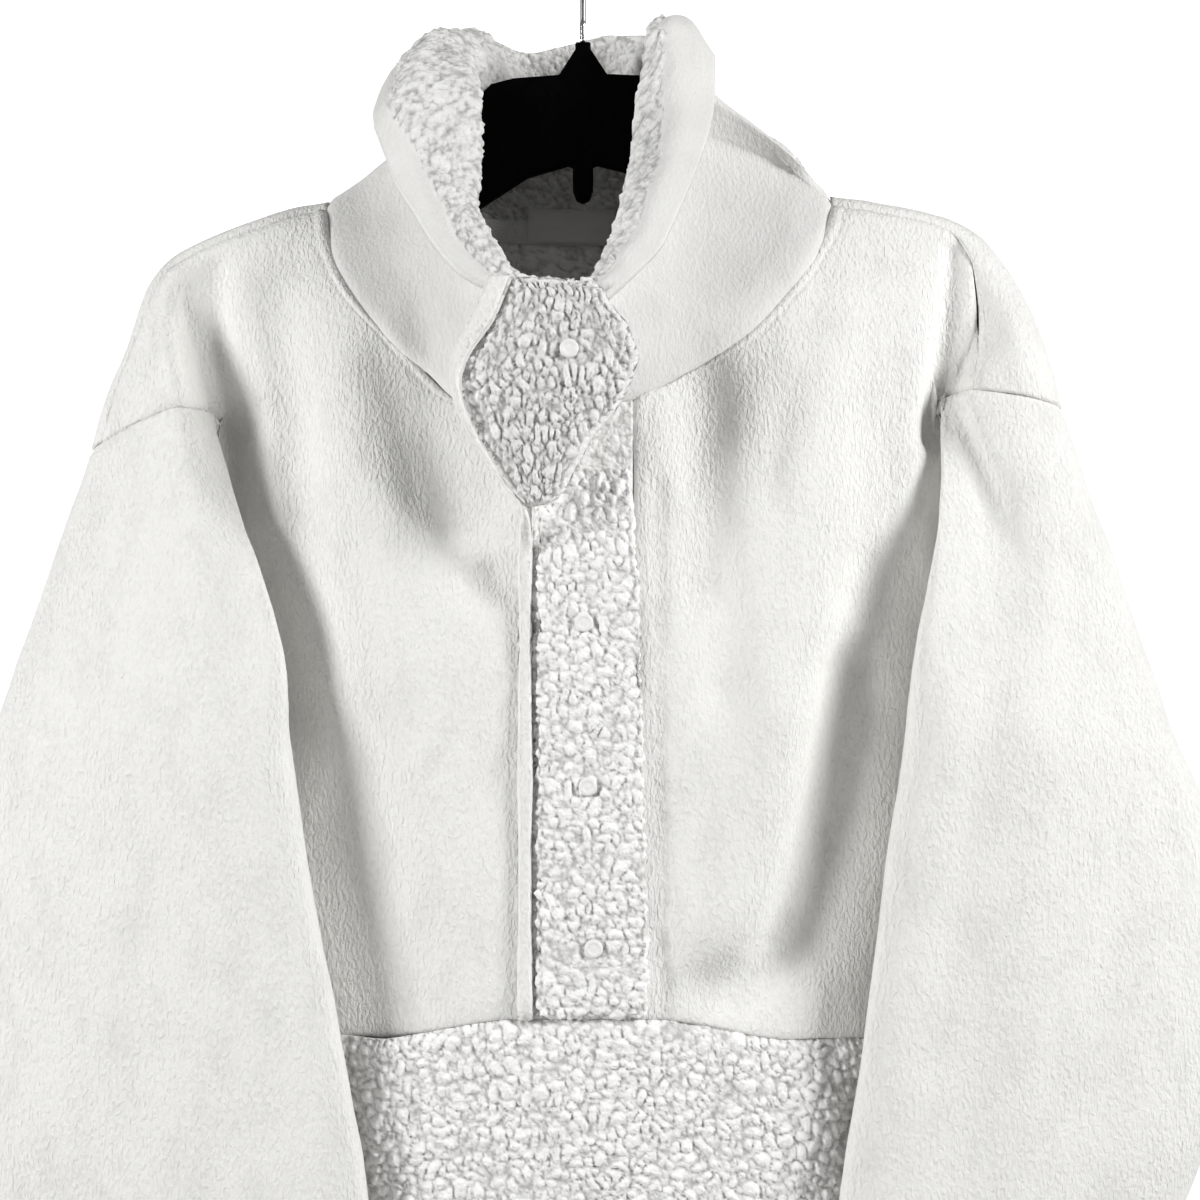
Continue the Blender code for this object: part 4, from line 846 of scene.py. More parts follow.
# Sleeve rings: z, centre x, half width, centre y, half depth, how far the inner edge swings forward.
SLEEVE = {
    -1: [(-456, 230, 79, -45, 30, 12), (-500, 231, 87, -48, 28, 12), (-560, 230, 96, -51, 26, 11),
         (-613, 225, 101, -53, 25, 10), (-657, 217, 101, -54, 25, 8), (-700, 206, 97, -53, 26, 7),
         (-760, 189, 82, -51, 27, 5), (-812, 174, 64, -49, 29, 4)],
    1: [(-456, 239, 72, -45, 30, 12), (-500, 245, 85, -48, 28, 12), (-556, 249, 97, -51, 26, 11),
        (-610, 244, 99, -53, 25, 10), (-655, 234, 96, -54, 25, 8), (-700, 223, 91, -53, 26, 7),
        (-760, 207, 79, -51, 27, 5), (-812, 192, 64, -49, 29, 4)],
}
SLEEVE_BULGE = {-1: 0.018, 1: 0.009}
SLEEVE_FORWARD = 0.012
# Where the underarm, the crease's top and the outline of the arm stand around the sleeve, in degrees.
SLEEVE_ANGLES = {-1: (-84, 55, 180, 276), 1: (-72, 55, 180, 288)}
SLEEVE_ROWS, SLEEVE_HEAD_ROWS = 12, 7
SLEEVE_STEP = 2.6 * MM
SLEEVE_START = 3.5 * MM
# The corners of a sleeve's section are a little squarer than an ellipse's.
SLEEVE_SQUARE = 0.9
SWELL_ANGLE = math.radians(20)
# A panel behind the sleeve is pushed back: the gap kept, how far around a point the sleeve is looked for, how
# far forward a sleeve must stand to count, and how far back the panel may go.
SLEEVE_CLEAR, SLEEVE_LOOK = 3.5 * MM, 9 * MM
SLEEVE_FRONT, LEAST_DEPTH = -8 * MM, -9.5 * MM
# Rays that look for a face start well behind it, or well before it.
BEHIND, BEFORE = 0.2, -0.3
SLEEVE_CREASES = [
    (-262, -400, -250, -520, -232, -700, 16, -2.2),
    (-200, -360, -196, -480, -176, -640, 14, 2.0),
    (-296, -420, -300, -560, -280, -760, 18, 2.4),
    (-226, -560, -214, -700, -190, -800, 16, -2.4),
    (214, -330, 206, -460, 176, -620, 13, -2.6),
    (236, -330, 240, -480, 222, -700, 15, 2.4),
    (268, -380, 276, -520, 262, -700, 16, -2.6),
    (196, -560, 186, -700, 178, -800, 15, -2.2),
]


def armhole(side):
    """The armhole's points, from the underarm up the front and down the back, and those just inside."""
    front = slice(UNDERARM_ROW - 1, None, -1)
    back = slice(1, len(BACK_DROPS_ARM) - 1)
    loop = np.vstack([FRONT[side][front, -1], STRIP[side][1:, -1], BACK[side][back, -1]])
    inside = np.vstack([FRONT[side][front, -2], STRIP[side][1:, -2], BACK[side][back, -2]])
    return loop, inside


def read_rows(table, count):
    """A table of millimetres, read smoothly from its first row to its last: one line for each column."""
    rows = np.array(table, float) * MM
    at = np.linspace(0, len(rows) - 1, count)
    return [between(np.arange(len(rows)), rows[:, k], at) for k in range(rows.shape[1])]


def sleeve_rings(side, angles):
    """Sleeve rings below the underarm, on the given angles: 0 is the inner edge, a right angle the front."""
    z, centre, half, y, deep, swing = (column[:, None] for column in read_rows(SLEEVE[side], SLEEVE_ROWS))
    cos, sin = np.cos(angles), np.sin(angles)
    x = side * (centre - half * (np.sign(cos) * np.abs(cos) ** SLEEVE_SQUARE))
    depth = y - deep * np.sign(sin) * np.abs(sin) ** SLEEVE_SQUARE - swing * cos
    return np.stack([x, depth, np.repeat(z, len(angles), axis=1)], axis=-1)


def sleeve_grid(side):
    """The sleeve's outer face, from the armhole to the cuff."""
    loop, inside = armhole(side)
    lower = UNDERARM_ROW - CREASE_ROW[side]
    over = CREASE_ROW[side] + STRIP_ROWS - 2
    start, crease, outline, end = SLEEVE_ANGLES[side]
    angles = np.radians(np.concatenate([
        np.linspace(start, crease, lower + 1), np.linspace(crease, outline, over + 1)[1:],
        np.linspace(outline, end, len(loop) - lower - over + 1)[1:-1]]))
    rings = sleeve_rings(side, angles)
    away = loop - inside
    along = unit(np.roll(loop, -1, axis=0) - np.roll(loop, 1, axis=0))
    away = unit(away - (away * along).sum(axis=1)[:, None] * along)
    rows = [loop + SEAM_GAP * away, loop + SLEEVE_START * away]
    for w in np.linspace(0, 1, SLEEVE_HEAD_ROWS + 1)[1:-1]:
        row = (1 - w) * rows[1] + w * rings[0]
        swell = math.sin(math.pi * w) * np.clip(np.cos(angles - SWELL_ANGLE), 0, 1) ** 2
        row[:, 0] -= side * SLEEVE_BULGE[side] * swell
        row[:, 1] -= SLEEVE_FORWARD * swell
        rows.append(row)
    return np.stack(rows + list(rings))


def sleeve_tree(grid):
    """A sleeve's face, to be looked up by ray."""
    return BVHTree.FromPolygons(grid.reshape(-1, 3).tolist(), outward(numbered(grid, True)))


def behind_sleeve(points, tree):
    """Moves points of the front back until they are clear of the sleeve that lies over them."""
    around = np.arange(8) * math.pi / 4
    looks = [(0, 0)] + [(SLEEVE_LOOK * math.cos(a), SLEEVE_LOOK * math.sin(a)) for a in around]
    for place in np.ndindex(points.shape[:-1]):
        x, y, z = points[place]
        for dx, dz in looks:
            start = (x + dx, BEHIND, z + dz)
            rear = tree.ray_cast(start, (0, -1, 0))[0]
            if rear is not None and rear.y < SLEEVE_FRONT:
                y = max(y, min(rear.y + SLEEVE_CLEAR, LEAST_DEPTH))
        points[place][1] = y


SIDES = ((-1, "right"), (1, "left"))
SLEEVES = {side: sleeve_grid(side) for side in (-1, 1)}
for side, word in SIDES:
    arm = SLEEVES[side] if side > 0 else SLEEVES[side][:, ::-1]
    smooth = fine(arm, SLEEVE_STEP, True)
    name, node = "sleeve_cloth_" + word, "sleeve_" + word
    sleeve = fleece_panel(name, node, arm, smooth, ("top",), SLEEVE_CREASES, around=True)

# The front yokes' cloth: fleece with its nap outside, pressed back where a sleeve lies over it. Beside the
# neck seam a band is folded and stitched down.
FRONT_CREASES = [
    (-197, -212, -203, -236, -188, -296, 9, -5.0),
    (-220, -214, -228, -242, -212, -284, 9, 3.0),
    (200, -200, 195, -245, 188, -300, 7, -5.5),
    (-188, -300, -152, -430, -112, -612, 24, -7.0),
    (-43, -430, -56, -444, -78, -478, 5, -2.2),
    (-40, -470, -56, -488, -66, -520, 7, -1.4),
    (-66, -268, -58, -300, -36, -352, 9, -2.6),
    (-96, -240, -86, -300, -74, -350, 9, 1.6),
    (40, -330, 41, -460, 43, -600, 6, -2.6),
    (128, -210, 118, -262, 96, -330, 12, -3.0),
    (182, -205, 180, -260, 176, -340, 10, 2.0),
    (150, -370, 130, -505, 106, -566, 16, -6.0),
    (112, -560, 92, -580, 62, -586, 11, -3.2),
    (106, -400, 98, -490, 80, -552, 18, 3.0),
    (62, -268, 60, -340, 72, -430, 18, -7.0),
    (98, -258, 100, -330, 106, -420, 16, -5.0),
    (-100, -260, -86, -305, -54, -372, 18, -6.5),
    (-130, -268, -128, -330, -120, -400, 16, 2.5),
    (-166, -236, -160, -290, -146, -340, 14, -3.5),
]
YOKE_STEP = 1.9 * MM
BAND_TOP = (-303 * MM, -297 * MM)
for side, word in SIDES:
    behind_sleeve(FRONT[side][1:, 1:-1], sleeve_tree(SLEEVES[side]))
    yoke = flipped(FRONT[side], side)
    smooth = on_form(yoke, front_depth, -1, YOKE_STEP)
    neck = ("last" if side < 0 else "first", lambda spots: ease(*BAND_TOP, spots[..., 2]))
    name, node = "front_yoke_cloth_" + word, "front_yoke_" + word
    front_yoke = fleece_panel(name, node, yoke, smooth, EDGES, FRONT_CREASES, band=neck)

# Lower panels: the same bonded cloth turned over, with its curled pile outside, from side seam to side seam.
# The pile stands over the waist seam, and the hem is plain.
SHERPA = 6.2 * MM
SHERPA_PROUD, PROUD_REACH = 2.5 * MM, 20 * MM
HEM_Z = -860 * MM
LOWER_ROWS, UNDER_ROWS, UNDER_COLUMNS = 7, 12, 5
PILE_STEP, BACK_PILE_STEP = 1.2 * MM, 2.0 * MM


def lower_grid(depth, sign, x):
    """A lower panel from side seam to side seam, from the waist seam to the hem."""
    share = np.linspace(0, 1, LOWER_ROWS)[:, None]
    side = side_line(waist_z(WAIST_SIDE_X) + share * (HEM_Z - waist_z(WAIST_SIDE_X)))
    across = x[None, :] / abs(x[0]) * side
    z = waist_z(across) + share * (HEM_Z - waist_z(across))
    y = sign * (depth(across, z) + SHERPA_PROUD * ease(0, PROUD_REACH, side - np.abs(across)))
    y[:, [0, -1]] = sign * SEAM_GAP / 2
    return np.stack([across, y, z], axis=-1)


def pile_panel(name, node, grid, step, seams, height, thickness):
    """A panel with its pile outside. seams numbers the edges along which it is drawn in."""
    smooth = fine(grid, step)
    far = reach(smooth)
    face, tops = piled(smooth, facing(smooth), [far[n] for n in seams], height)
    coarse = fine(grid, LINING_STEP)
    wall = shell(face, coarse - thickness * facing(coarse))
    return sewn(name, [wall], [pile_cloth, nap_cloth], node, tops)


middle_x = np.linspace(-OPENING_HALF, OPENING_HALF, UNDER_COLUMNS)[1:-1]
front_x = np.concatenate([FRONT[-1][-1, ::-1, 0], middle_x, FRONT[1][-1, :, 0]])
back_x = np.concatenate([BACK[-1][-1, ::-1, 0], BACK[1][-1, 1:, 0]])
LOWER = {"front": lower_grid(front_depth, -1, front_x), "back": lower_grid(back_depth, 1, back_x)[:, ::-1]}
for side in (-1, 1):
    behind_sleeve(LOWER["front"][:, 1:-1], sleeve_tree(SLEEVES[side]))
for word, step in (("front", PILE_STEP), ("back", BACK_PILE_STEP)):
    name, node = f"lower_{word}_cloth", word + "_lower"
    lower = pile_panel(name, node, LOWER[word], step, (0, 2, 3), CURL_HEIGHT, SHERPA)

# Under placket: a strip of the bonded cloth behind the half opening, pile outside, level with the yokes. It
# is sewn into the neck seam and the waist seam.
UNDER_STEP, UNDER_PILE = 1.6 * MM, 2.6 * MM


def under_placket():
    """The strip behind the opening, from the waist seam to the neck seam."""
    x = np.linspace(-OPENING_HALF + SEAM_GAP, OPENING_HALF - SEAM_GAP, UNDER_COLUMNS)
    top = np.interp(x, [x[0], x[-1]], [FRONT[side][NECK_ROWS - 1, 0, 2] for side in (-1, 1)])
    share = np.linspace(0, 1, UNDER_ROWS)[:, None]
    z = top + share * (waist_z(x) + SEAM_GAP - top)
    across = np.broadcast_to(x, z.shape)
    return np.stack([across, -front_depth(across, z), z], axis=-1)


UNDER = under_placket()
under = pile_panel("placket_under_cloth", "placket_under", UNDER, UNDER_STEP, (), UNDER_PILE, FLEECE)

# Collar: one tall band of bonded fleece around the neck, nap outside and pile inside. It buckles part of the
# way up and its top turns over outwards. The fleece is folded over the rim to the inside and stitched down.

# Collar sections around the neck, from the placket over the viewer's left, the back and the right: the outer
# surface low on the wall, at the bend, under the turned-over part, and at the rim, each as x, y, z.
COLLAR = [
    (-4, -66, -259, -4, -72, -233, -4, -78, -231, -4, -86, -237),
    (-37, -64, -259, -33, -69, -229, -37, -77, -228, -41, -83, -234),
    (-62, -56, -248, -48, -56, -206, -58, -68, -214, -67, -76, -219),
    (-86, -38, -211, -59, -39, -184, -76, -58, -186, -86, -65, -191),
    (-97, -18, -179, -58, -27, -156, -84, -46, -158, -99, -51, -167),
    (-112, 3, -152, -60, -16, -116, -88, -28, -112, -107, -33, -134),
    (-90, 34, -136, -63, 20, -100, -76, 8, -80, -92, 2, -92),
    (-66, 44, -146, -48, 38, -100, -56, 34, -77, -68, 30, -72),
    (-32, 48, -150, -30, 51, -108, -31, 53, -90, -33, 54, -77),
    (28, 48, -150, 16, 50, -106, 12, 51, -86, 12, 50, -68),
    (84, 38, -148, 42, 24, -108, 38, 18, -88, 46, 18, -80),
    (107, 18, -143, 43, -2, -86, 53, -8, -78, 64, -9, -94),
    (105, -13, -142, 41, -21, -95, 52, -19, -84, 67, -15, -100),
    (95, -10, -152, 34, -24, -134, 52, -30, -112, 67, -27, -122),
    (84, -20, -176, 31, -27, -157, 49, -37, -136, 67, -39, -139),
    (64, -38, -212, 24, -44, -190, 40, -54, -171, 57, -56, -171),
    (43, -56, -238, 16, -58, -215, 26, -67, -207, 38, -72, -212),
    (24, -63, -257, 9, -68, -229, 11, -76, -228, 15, -82, -235),
    (4, -66, -260, 1, -72, -233, 1, -78, -231, 1, -86, -237),
]
# Where on the neck seam each of those sections stands: x, y, z near its foot.
COLLAR_FEET = [
    (-1, -55, -291), (-34, -54, -292), (-66, -50, -282), (-104, -36, -246), (-130, -16, -208),
    (-138, 0, -172), (-104, 33, -179), (-70, 36, -184), (-32, 38, -188), (30, 38, -188),
    (104, 33, -179), (128, 14, -173), (134, 0, -170), (134, -11, -175), (126, -16, -198),
    (102, -32, -232), (69, -44, -260), (36, -50, -278), (1, -55, -291),
]
# How wide the fleece is folded over the rim at each of those sections.
COLLAR_HEM = [6, 10, 14, 17, 17, 16, 4, 1, 0, 0, 3, 30, 33, 30, 26, 20, 16, 12, 8]
COLLAR_ROWS = 13
COLLAR_END, COLLAR_GAP = 0.3 * MM, 0.48 * MM
COLLAR_STEP, COLLAR_PILE = 1.45 * MM, 3.6 * MM
# How far the lining and the nap side reach down over the neck seam, and how far up that is felt.
COLLAR_COVER, COVER_REACH = 2.4 * MM, 3 * MM
FOOT_COVER, FOOT_REACH = 0.8 * MM, 4 * MM
# The fold's edge waves a little. It stands up from the lining, most at its stitched edge.
FOLD_WAVE, FOLD_WAVE_SIZE = 1.6 * MM, 5 * MM
FOLD_EDGE, FOLD_EDGE_WIDTH, FOLD_RISE = 1.6 * MM, 3.5 * MM, 0.6 * MM


def neck_line():
    """The neck seam's points, from the placket over the viewer's left, the back and the right."""
    half = UNDER_COLUMNS // 2
    left_end, right_end = UNDER[0, 1:half][::-1], UNDER[0, half + 1:-1]
    start, stop = (UNDER[0, half] * [0, 1, 1] + [x, 0, 0] for x in (-COLLAR_END, COLLAR_END))
    front_left, front_right = FRONT[-1][:NECK_ROWS, 0][::-1], FRONT[1][:NECK_ROWS, 0]
    back_left = BACK[-1][0, :len(BACK_NECK_SHARES)][::-1]
    back_right = BACK[1][0, 1:len(BACK_NECK_SHARES)]
    return np.vstack([[start], left_end, front_left, STRIP[-1][1:-1, 0], back_left, back_right,
                      STRIP[1][1:-1, 0][::-1], front_right, right_end, [stop]])


def collar():
    """The collar's outer face: rows from the neck seam to the rim, columns around the neck."""
    line = neck_line()
    run = run_along(line)
    run /= run[-1]
    near = [run[np.argmin(np.linalg.norm(line - foot, axis=1))] for foot in np.array(COLLAR_FEET, float) * MM]
    guides = np.array(COLLAR, float).reshape(-1, 4, 3) * MM
    lines = [line]
    for k in range(guides.shape[1]):
        lines.append(np.stack([between(near, guides[:, k, n], run) for n in range(3)], axis=1))
    grid = read_at(np.array(lines), np.linspace(0, len(lines) - 1, COLLAR_ROWS), 0)
    along = unit(np.gradient(grid[0], axis=0))
    rise = grid[1] - grid[0]
    grid[0] += COLLAR_GAP * unit(rise - (rise * along).sum(axis=1)[:, None] * along)
    return grid


def hem_width(rim):
    """The fold's width at each point of the collar's rim."""
    ends = np.array(COLLAR, float)[:, -3:] * MM
    width = []
    for point in rim:
        share = 1 / (np.linalg.norm(ends - point, axis=1) ** 3 + 1e-9)
        width.append((share * COLLAR_HEM).sum() / share.sum() * MM)
    return np.array(width)


COLLAR_GRID = collar()
smooth = fine(COLLAR_GRID, COLLAR_STEP)
normals = facing(smooth)
far = reach(smooth)
back_face = smooth - SHERPA * normals
within = hem_width(smooth[-1])[None, :] - far[1] + FOLD_WAVE * cloud(back_face, FOLD_WAVE_SIZE)
hem = within > 0
curled, tops = piled(back_face, -normals, [], COLLAR_PILE)
plain = back_face + normals * (FOLD_EDGE * np.exp(-(within / FOLD_EDGE_WIDTH) ** 2) + FOLD_RISE)[..., None]
lining = np.where(hem[..., None], plain, curled)
foot = 1 - ease(0, COVER_REACH, far[0])
lining = lining + ((smooth[:1] - smooth[3:4]) / (3 * COLLAR_STEP) * COLLAR_COVER) * foot[..., None]
nap_side = fine(COLLAR_GRID, NAP_STEP)
above = reach(nap_side)[0]
foot = (1 - ease(0, FOOT_REACH, above)) * FOOT_COVER / NAP_STEP
nap_side = napped(nap_side, facing(nap_side), [above]) + (nap_side[:1] - nap_side[1:2]) * foot[..., None]
points, faces, kinds = shell(lining[:, ::-1], nap_side[:, ::-1])
# On the lining's own faces, finish 2 is the folded fleece and 0 the pile.
folded = 2 * hem[:-1, :-1][:, ::-1].reshape(-1)
kinds = folded.tolist() + [1] * (len(kinds) - len(folded))
collar_wall = (points, faces, kinds)
# The collar's pile takes the darker copy of the pile, which is painted shade.
collar_finishes = [shaded_pile, brushed_cloth, brushed_cloth]
collar_piece = sewn("collar_cloth", [collar_wall], collar_finishes, "collar", tops[:, ::-1])

# Placket: a sherpa strip down the half opening, a leaf-shaped sherpa tab at the collar, and one narrow folded
# fleece binding along the left edge of both. The snaps hold them to the strip below.

# Collar tab, from its low tip to the collar's rim: left x, right x, left z, right z.
TAB = [(-27, -17, -341, -339), (-36, -8, -330, -331), (-45, 3, -316, -311), (-55, 14, -298, -297),
       (-60, 24, -281, -282), (-56, 29, -266, -267), (-44, 25, -249, -251), (-38, 16, -236, -239),
       (-34, 8, -226, -229)]

# Over placket: z, left x, right x.
PLACKET = [(-603, -25, 35), (-564, -25, 35), (-456, -25, 33), (-388, -25, 31), (-345, -25, 28),
           (-318, -24, 25)]

# Fleece binding, from the placket's foot to the top of the tab: x of its inner edge, z, width.
BINDING = [(-25.6, -603, 7.4), (-25.6, -480, 7.4), (-25.6, -390, 7.4), (-26, -356, 6.5), (-28, -341, 2.8),
           (-37, -330, 3.0), (-46, -316, 3.5), (-56, -298, 3.5), (-61, -281, 4.2), (-57, -266, 8.0),
           (-45, -249, 12.0), (-39, -236, 12.0), (-35, -226, 11.0)]
BINDING_THICKNESS = 3.6 * MM
# Rows and columns of each face, and how far in from its edges it starts, as a share of its width.
PLACKET_ROWS, PLACKET_COLUMNS, PLACKET_INSET = 241, 52, 0.004
TAB_ROWS, TAB_COLUMNS, TAB_INSET = 121, 85, 0.006
BINDING_ROWS, BINDING_COLUMNS, BINDING_INSET = 240, 9, 0.02
# How far the pile stands out over the left edges, and how far and how often the right ones wave.
PLACKET_OVER, PLACKET_WAVE = 0.3 * MM, (0.8 * MM, 6 * MM)
TAB_OVER, TAB_WAVE = 0.5 * MM, (1.8 * MM, 7 * MM)
TAB_CURL_HEIGHT, TAB_STRETCH = 5.4 * MM, (1.4, 1, 0.85)
PLACKET_EDGE, TAB_EDGE, BINDING_EDGE = 2.0 * MM, 2.8 * MM, 1.6 * MM


def solid_tree(name):
    """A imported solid, to be looked up by ray."""
    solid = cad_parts[name].data
    return BVHTree.FromPolygons([v.co[:] for v in solid.vertices], [p.vertices[:] for p in solid.polygons])


def front_of(tree, x, z, start):
    """y of the first face met from the front at each x, z, or at the nearest such place that has one."""
    y = np.full(x.shape, np.nan)
    for place in np.ndindex(x.shape):
        hit = tree.ray_cast((x[place], start, z[place]), (0, 1, 0))[0]
        if hit is not None:
            y[place] = hit.y
    known = np.argwhere(~np.isnan(y))
    for i, j in np.argwhere(np.isnan(y)):
        y[i, j] = y[tuple(known[np.argmin(np.abs(known - [i, j]).sum(axis=1))])]
    return y


def strip_grid(left, right, low, high, columns, inset):
    """x and z of a flat strip between two edges, drawn in a little from both."""
    share = np.linspace(inset, 1 - inset, columns)[None, :]
    return tuple(a[:, None] * (1 - share) + b[:, None] * share for a, b in ((left, right), (low, high)))


# How far back the edge of a strip is rounded, as a share of its thickness.
PAD_EDGE = 0.85


def pad_strip(name, node, x, z, cover, thickness, finish, edge):
    """A thick strip on the form of its solid, with rounded edges and a flat back."""
    y = front_of(solid_tree(node), x, z, BEFORE)
    for _ in range(3):
        y[1:-1, 1:-1] = (y[:-2, 1:-1] + y[2:, 1:-1] + y[1:-1, :-2] + y[1:-1, 2:] + 2 * y[1:-1, 1:-1]) / 6
    smooth = np.stack([x, y, z], axis=-1)
    far = np.min(reach(smooth), axis=0)
    sunk = PAD_EDGE * thickness * (1 - rounded(far, edge) / edge)
    turned = smooth + np.stack([0 * far, sunk, 0 * far], axis=-1)
    outer, tops = cover(turned, facing(turned))
    back = smooth + [0, thickness, 0]
    inner = back[::3, ::3]
    if (x.shape[1] - 1) % 3:
        inner = np.concatenate([inner, back[::3, -1:]], axis=1)
    if (x.shape[0] - 1) % 3:
        inner = np.concatenate([inner, inner[-1:] * [1, 1, 0] + [0, 0, z[-1, -1]]])
    return sewn(name, [shell(outer, inner)], [finish, finish], node, tops)


def ragged(x, z, most, size):
    """A line of x along z, made to wave by the pile's loose strands."""
    return x + most * cloud(np.stack([x, 0 * x, z], axis=-1), size)


def placket_pile(grid, normals):
    """The placket's face: the same curls as on the lower panels."""
    return piled(grid, normals, [])


def tab_pile(grid, normals):
    """The tab's face: taller and narrower curls."""
    return piled(grid, normals, [], TAB_CURL_HEIGHT, TAB_STRETCH)


def binding_nap(grid, normals):
    """The binding's face, which has a nap and no curls."""
    return napped(grid, normals, []), 0 * grid[..., 0]


table = np.array(PLACKET, float) * MM
z = np.linspace(table[0, 0], table[-1, 0], PLACKET_ROWS)[::-1]
left, right = (between(table[:, 0], table[:, k], z) for k in (1, 2))
right = ragged(right, z, *PLACKET_WAVE)
x, z = strip_grid(left - PLACKET_OVER, right, z, z, PLACKET_COLUMNS, PLACKET_INSET)
placket = pad_strip("placket_over_cloth", "placket_over", x, z, placket_pile, SHERPA, pile_cloth,
                    PLACKET_EDGE)

left, right, left_z, right_z = read_rows(TAB[::-1], TAB_ROWS)
right = ragged(right, right_z, *TAB_WAVE)
x, z = strip_grid(left - TAB_OVER, right, left_z, right_z, TAB_COLUMNS, TAB_INSET)
# The tab takes the darker copy of the pile, which is painted shade.
tab = pad_strip("collar_tab_cloth", "collar_tab", x, z, tab_pile, SHERPA, shaded_pile, TAB_EDGE)

edge, z, width = read_rows(BINDING[::-1], BINDING_ROWS)
x, z = strip_grid(edge - width, edge, z, z, BINDING_COLUMNS, BINDING_INSET)
binding = pad_strip("placket_binding_cloth", "placket_binding", x, z, binding_nap, BINDING_THICKNESS,
                    nap_cloth, BINDING_EDGE)

# Inside the back neck: a twill tape sewn over the neck seam, and a bare woven label sewn on it, with its ends
# folded in.

# Neck tape and label: x range, and how far above the neck seam they start and end.
NECK_TAPE = (-84, 84, -2.2, 11)
LABEL = (-31, 18, -1.4, 19)
TAPE_THICKNESS, TAPE_STEP, TAPE_ROWS = 0.001, 1.2 * MM, 14
# Its form is read a hair inside its ends.
TAPE_INSIDE = 0.999


def cloth_finish(name, pale, shade, threads, turn):
    """A flat woven cloth with visible threads."""
    weave = Finish(name)
    lean = (0, math.radians(turn), 0)
    wave = weave.stretched("TexWave", (1, 1, 1), lean, {"Scale": threads, "Distortion": 1.2})
    height = weave.total(wave, weave.grain(900), 0.4)
    weave.colours(height, [(0.1, shade), (0.9, pale)])
    weave.relief(height, 0.35 * MM, 0.8)
    return weave.done(Roughness=0.85, Sheen_Weight=0.1)


twill = cloth_finish("twill_tape", (0.80, 0.79, 0.76, 1), (0.68, 0.67, 0.64, 1), 330, 35)
label_weave = cloth_finish("woven_label", (0.84, 0.83, 0.80, 1), (0.76, 0.75, 0.72, 1), 520, 90)
seam = np.array(NECK_BACK, float) * MM
for name, span, finish, flat in (("neck_tape", NECK_TAPE, twill, (0.175, 0.014)),
                                 ("label", LABEL, label_weave, (0.049, 0.0215))):
    left, right, low, high = (n * MM for n in span)
    columns = int((right - left) / TAPE_STEP)
    x, up = np.meshgrid(np.linspace(left, right, columns), np.linspace(high, low, TAPE_ROWS))
    z = up + between(seam[:, 0], seam[:, 1], np.abs(x))
    y = front_of(solid_tree(name), x * TAPE_INSIDE, z, 0.0)
    smooth = np.stack([x, y, z], axis=-1)
    wall = shell(smooth, smooth[::TAPE_ROWS - 1] + [0, TAPE_THICKNESS, 0])
    strip = sewn(name + "_cloth", [wall], [finish, finish], name)

# Snaps: four low moulded caps of dull pearly resin, with a turned-in rim and a shallow dished top. They are
# pressed through the cloth and sit deep in its pile.

# How far the pile stands over each cap.
CAP_SUNK = [1.2 * MM, 1.2 * MM, 1.2 * MM, 1.9 * MM]
# The share of its solid's width that a cap takes up, and its section: shares of the radius and of the height.
CAP_WIDTH = 0.9
CAP_PROFILE = [(0.82, 0), (0.96, 0.16), (1.0, 0.42), (0.97, 0.72), (0.86, 0.95), (0.72, 1.0), (0.60, 0.93),
               (0.52, 0.80), (0.40, 0.76), (0.16, 0.84)]
CAP_MIDDLE = 0.86
CAP_SIDES = 40
resin = Finish("snap_resin_cap")
resin.colours(resin.grain(900, detail=3.0), [(0.3, (0.78, 0.775, 0.755, 1)), (0.8, (0.88, 0.875, 0.86, 1))])
resin.relief(resin.grain(2600), 0.05 * MM, 0.4)
cap_resin = resin.done(Roughness=0.45, Coat_Weight=0.1, Coat_Roughness=0.3)
for number, sunk in enumerate(CAP_SUNK, 1):
    low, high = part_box(f"snap_cap_{number}")
    centre_x, centre_z = (low[0] + high[0]) / 2, (low[2] + high[2]) / 2
    radius, seat, height = CAP_WIDTH * (high[0] - low[0]) / 2, high[1] + sunk, high[1] - low[1]
    turns = np.linspace(0, 2 * math.pi, CAP_SIDES, endpoint=False)
    rings = np.array([[(centre_x + r * radius * math.cos(a), seat - h * height,
                        centre_z + r * radius * math.sin(a)) for a in turns] for r, h in CAP_PROFILE])
    ends = [(centre_x, seat, centre_z), (centre_x, seat - CAP_MIDDLE * height, centre_z)]
    points = np.vstack([rings.reshape(-1, 3), ends])
    n = numbered(rings, True)
    faces = outward(n)
    faces += [(n[0, k + 1], n[0, k], len(points) - 2) for k in range(CAP_SIDES)]
    faces += [(n[-1, k], n[-1, k + 1], len(points) - 1) for k in range(CAP_SIDES)]
    cap = sewn(f"snap_{number}", [(points, faces, [0] * len(faces))], [cap_resin], f"snap_cap_{number}")

# Hanger: a moulded body of matt black plastic, and a bent steel wire hook set in it. A bright sleeve covers
# the wire above the cap.

# Hook wire, from the cap up: x, z. Its last arc is a part of a circle around the rod, in degrees.
HOOK_STEM = [(0, -84.7), (0, -79), (0, -73), (0, -62), (0, -52), (3, -45.5), (10, -39), (16.5, -32.5)]
HOOK_ARC = (-18, 208)
HOOK_RADIUS, HOOK_WIRE = 0.020, 0.0015
# The sleeve's thickness in wires, and the heights between which it ends.
HOOK_SLEEVE, HOOK_SLEEVE_END = 1.2, (-0.0745, -0.0725)
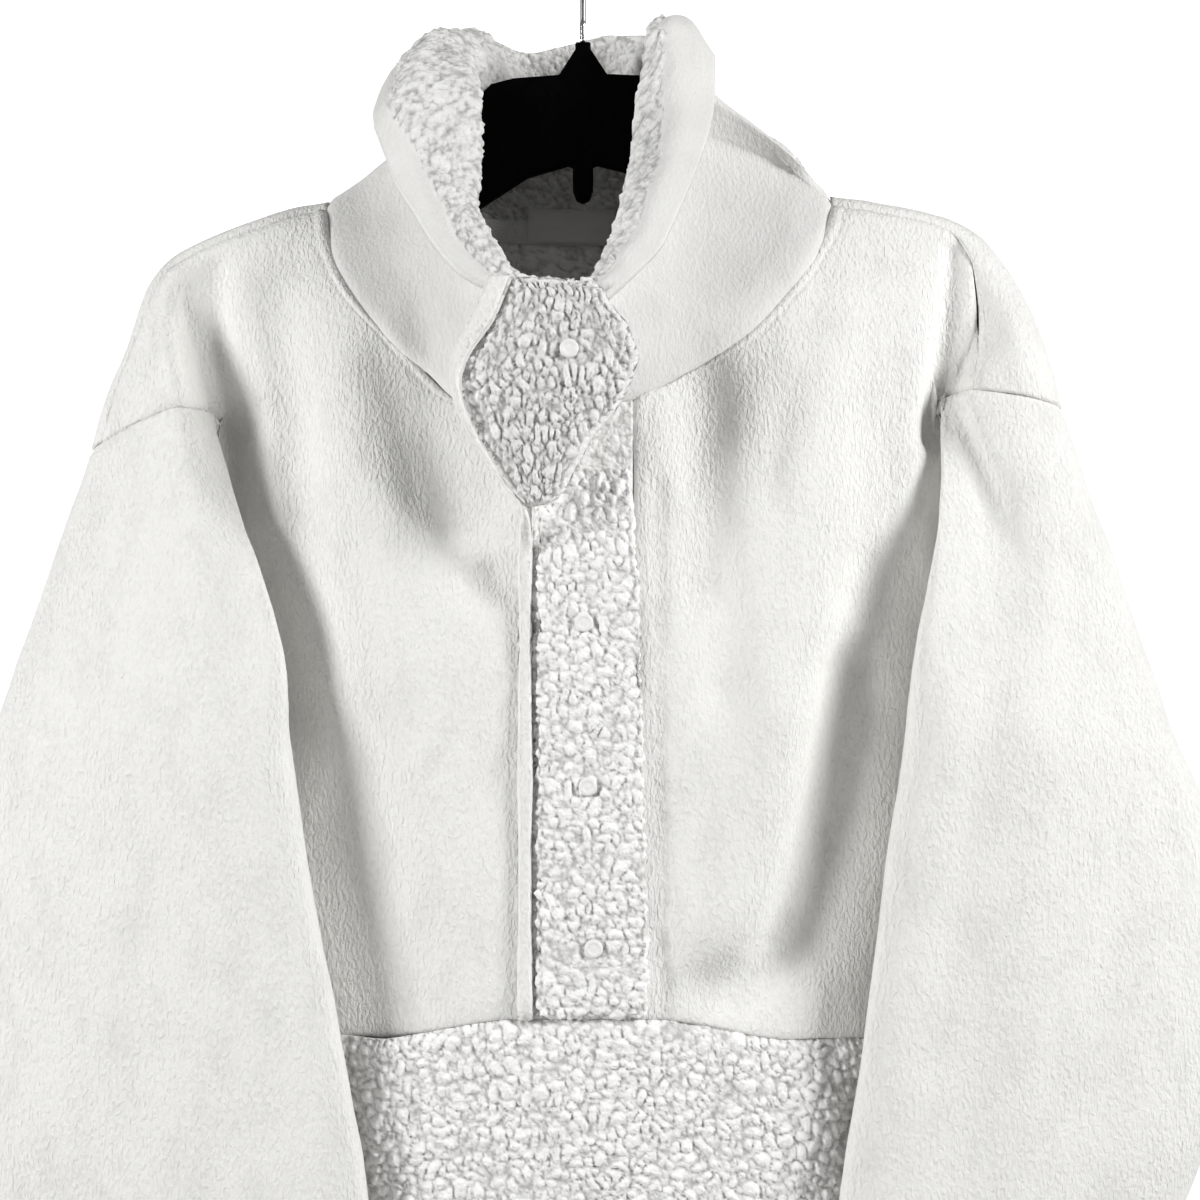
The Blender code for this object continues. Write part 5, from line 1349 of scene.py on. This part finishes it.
# How thin the wire is at its hidden foot and at its free tip.
HOOK_FOOT, HOOK_TIP = 0.7, 0.55
HOOK_SIDES, STEM_POINTS, ARC_POINTS = 20, 24, 64
plastic = Finish("black_hanger_plastic")
plastic_tones = [(0.3, (0.0005, 0.0005, 0.0005, 1)), (0.8, (0.0015, 0.0015, 0.0015, 1))]
plastic.colours(plastic.grain(300, detail=4.0), plastic_tones)
plastic.relief(plastic.grain(1400), 0.12 * MM, 0.5)
hanger_plastic = plastic.done(Roughness=0.6, Specular_IOR_Level=0.02)
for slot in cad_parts["hanger_body"].material_slots:
    slot.material = hanger_plastic


def wire_finish(name, dark, pale, roughness):
    """Drawn steel wire."""
    steel = Finish(name)
    steel.colours(steel.grain(240, (1, 1, 6), 3.0), [(0.3, dark), (0.7, pale)])
    steel.relief(steel.grain(1800, (1, 1, 8)), 0.03 * MM, 0.3)
    return steel.done(Metallic=1.0, Roughness=roughness)


dull_wire = wire_finish("dark_hook_wire", (0.18, 0.18, 0.19, 1), (0.27, 0.27, 0.28, 1), 0.30)
bright_wire = wire_finish("bright_hook_sleeve", (0.78, 0.78, 0.79, 1), (0.88, 0.88, 0.88, 1), 0.13)
stem = np.array(HOOK_STEM, float) * MM
radius = HOOK_RADIUS + HOOK_WIRE
turns = np.radians(np.linspace(*HOOK_ARC, ARC_POINTS))
arc = np.stack([radius * np.cos(turns), -HOOK_RADIUS + radius * np.sin(turns)], axis=1)
bend = curve_through(np.vstack([stem[4:], arc[:1]]) / MM, STEM_POINTS)
path = np.vstack([spaced(stem[:4], STEM_POINTS)[:-1], bend[:-1], arc])
thick = HOOK_WIRE * (1 + (HOOK_SLEEVE - 1) * (1 - ease(*HOOK_SLEEVE_END, path[:, 1])))
thick[0] *= HOOK_FOOT
thick[-1] *= HOOK_TIP
turns = np.linspace(0, 2 * math.pi, HOOK_SIDES, endpoint=False)
rings = np.array([[(x - r * math.cos(a) * dz, r * math.sin(a), z + r * math.cos(a) * dx) for a in turns]
                  for (x, z), (dx, dz), r in zip(path, unit(np.gradient(path, axis=0)), thick)])
n = numbered(rings, True)
faces = outward(n) + [n[0, :-1][::-1].tolist(), n[-1, :-1].tolist()]
in_sleeve = (path[:, 1] < sum(HOOK_SLEEVE_END) / 2).tolist()
kinds = [int(in_sleeve[min(k // HOOK_SIDES, len(path) - 1)]) for k in range(len(faces))]
hook = sewn("hook_wire_bent", [(rings.reshape(-1, 3), faces, kinds)], [dull_wire, bright_wire], "hanger_hook")
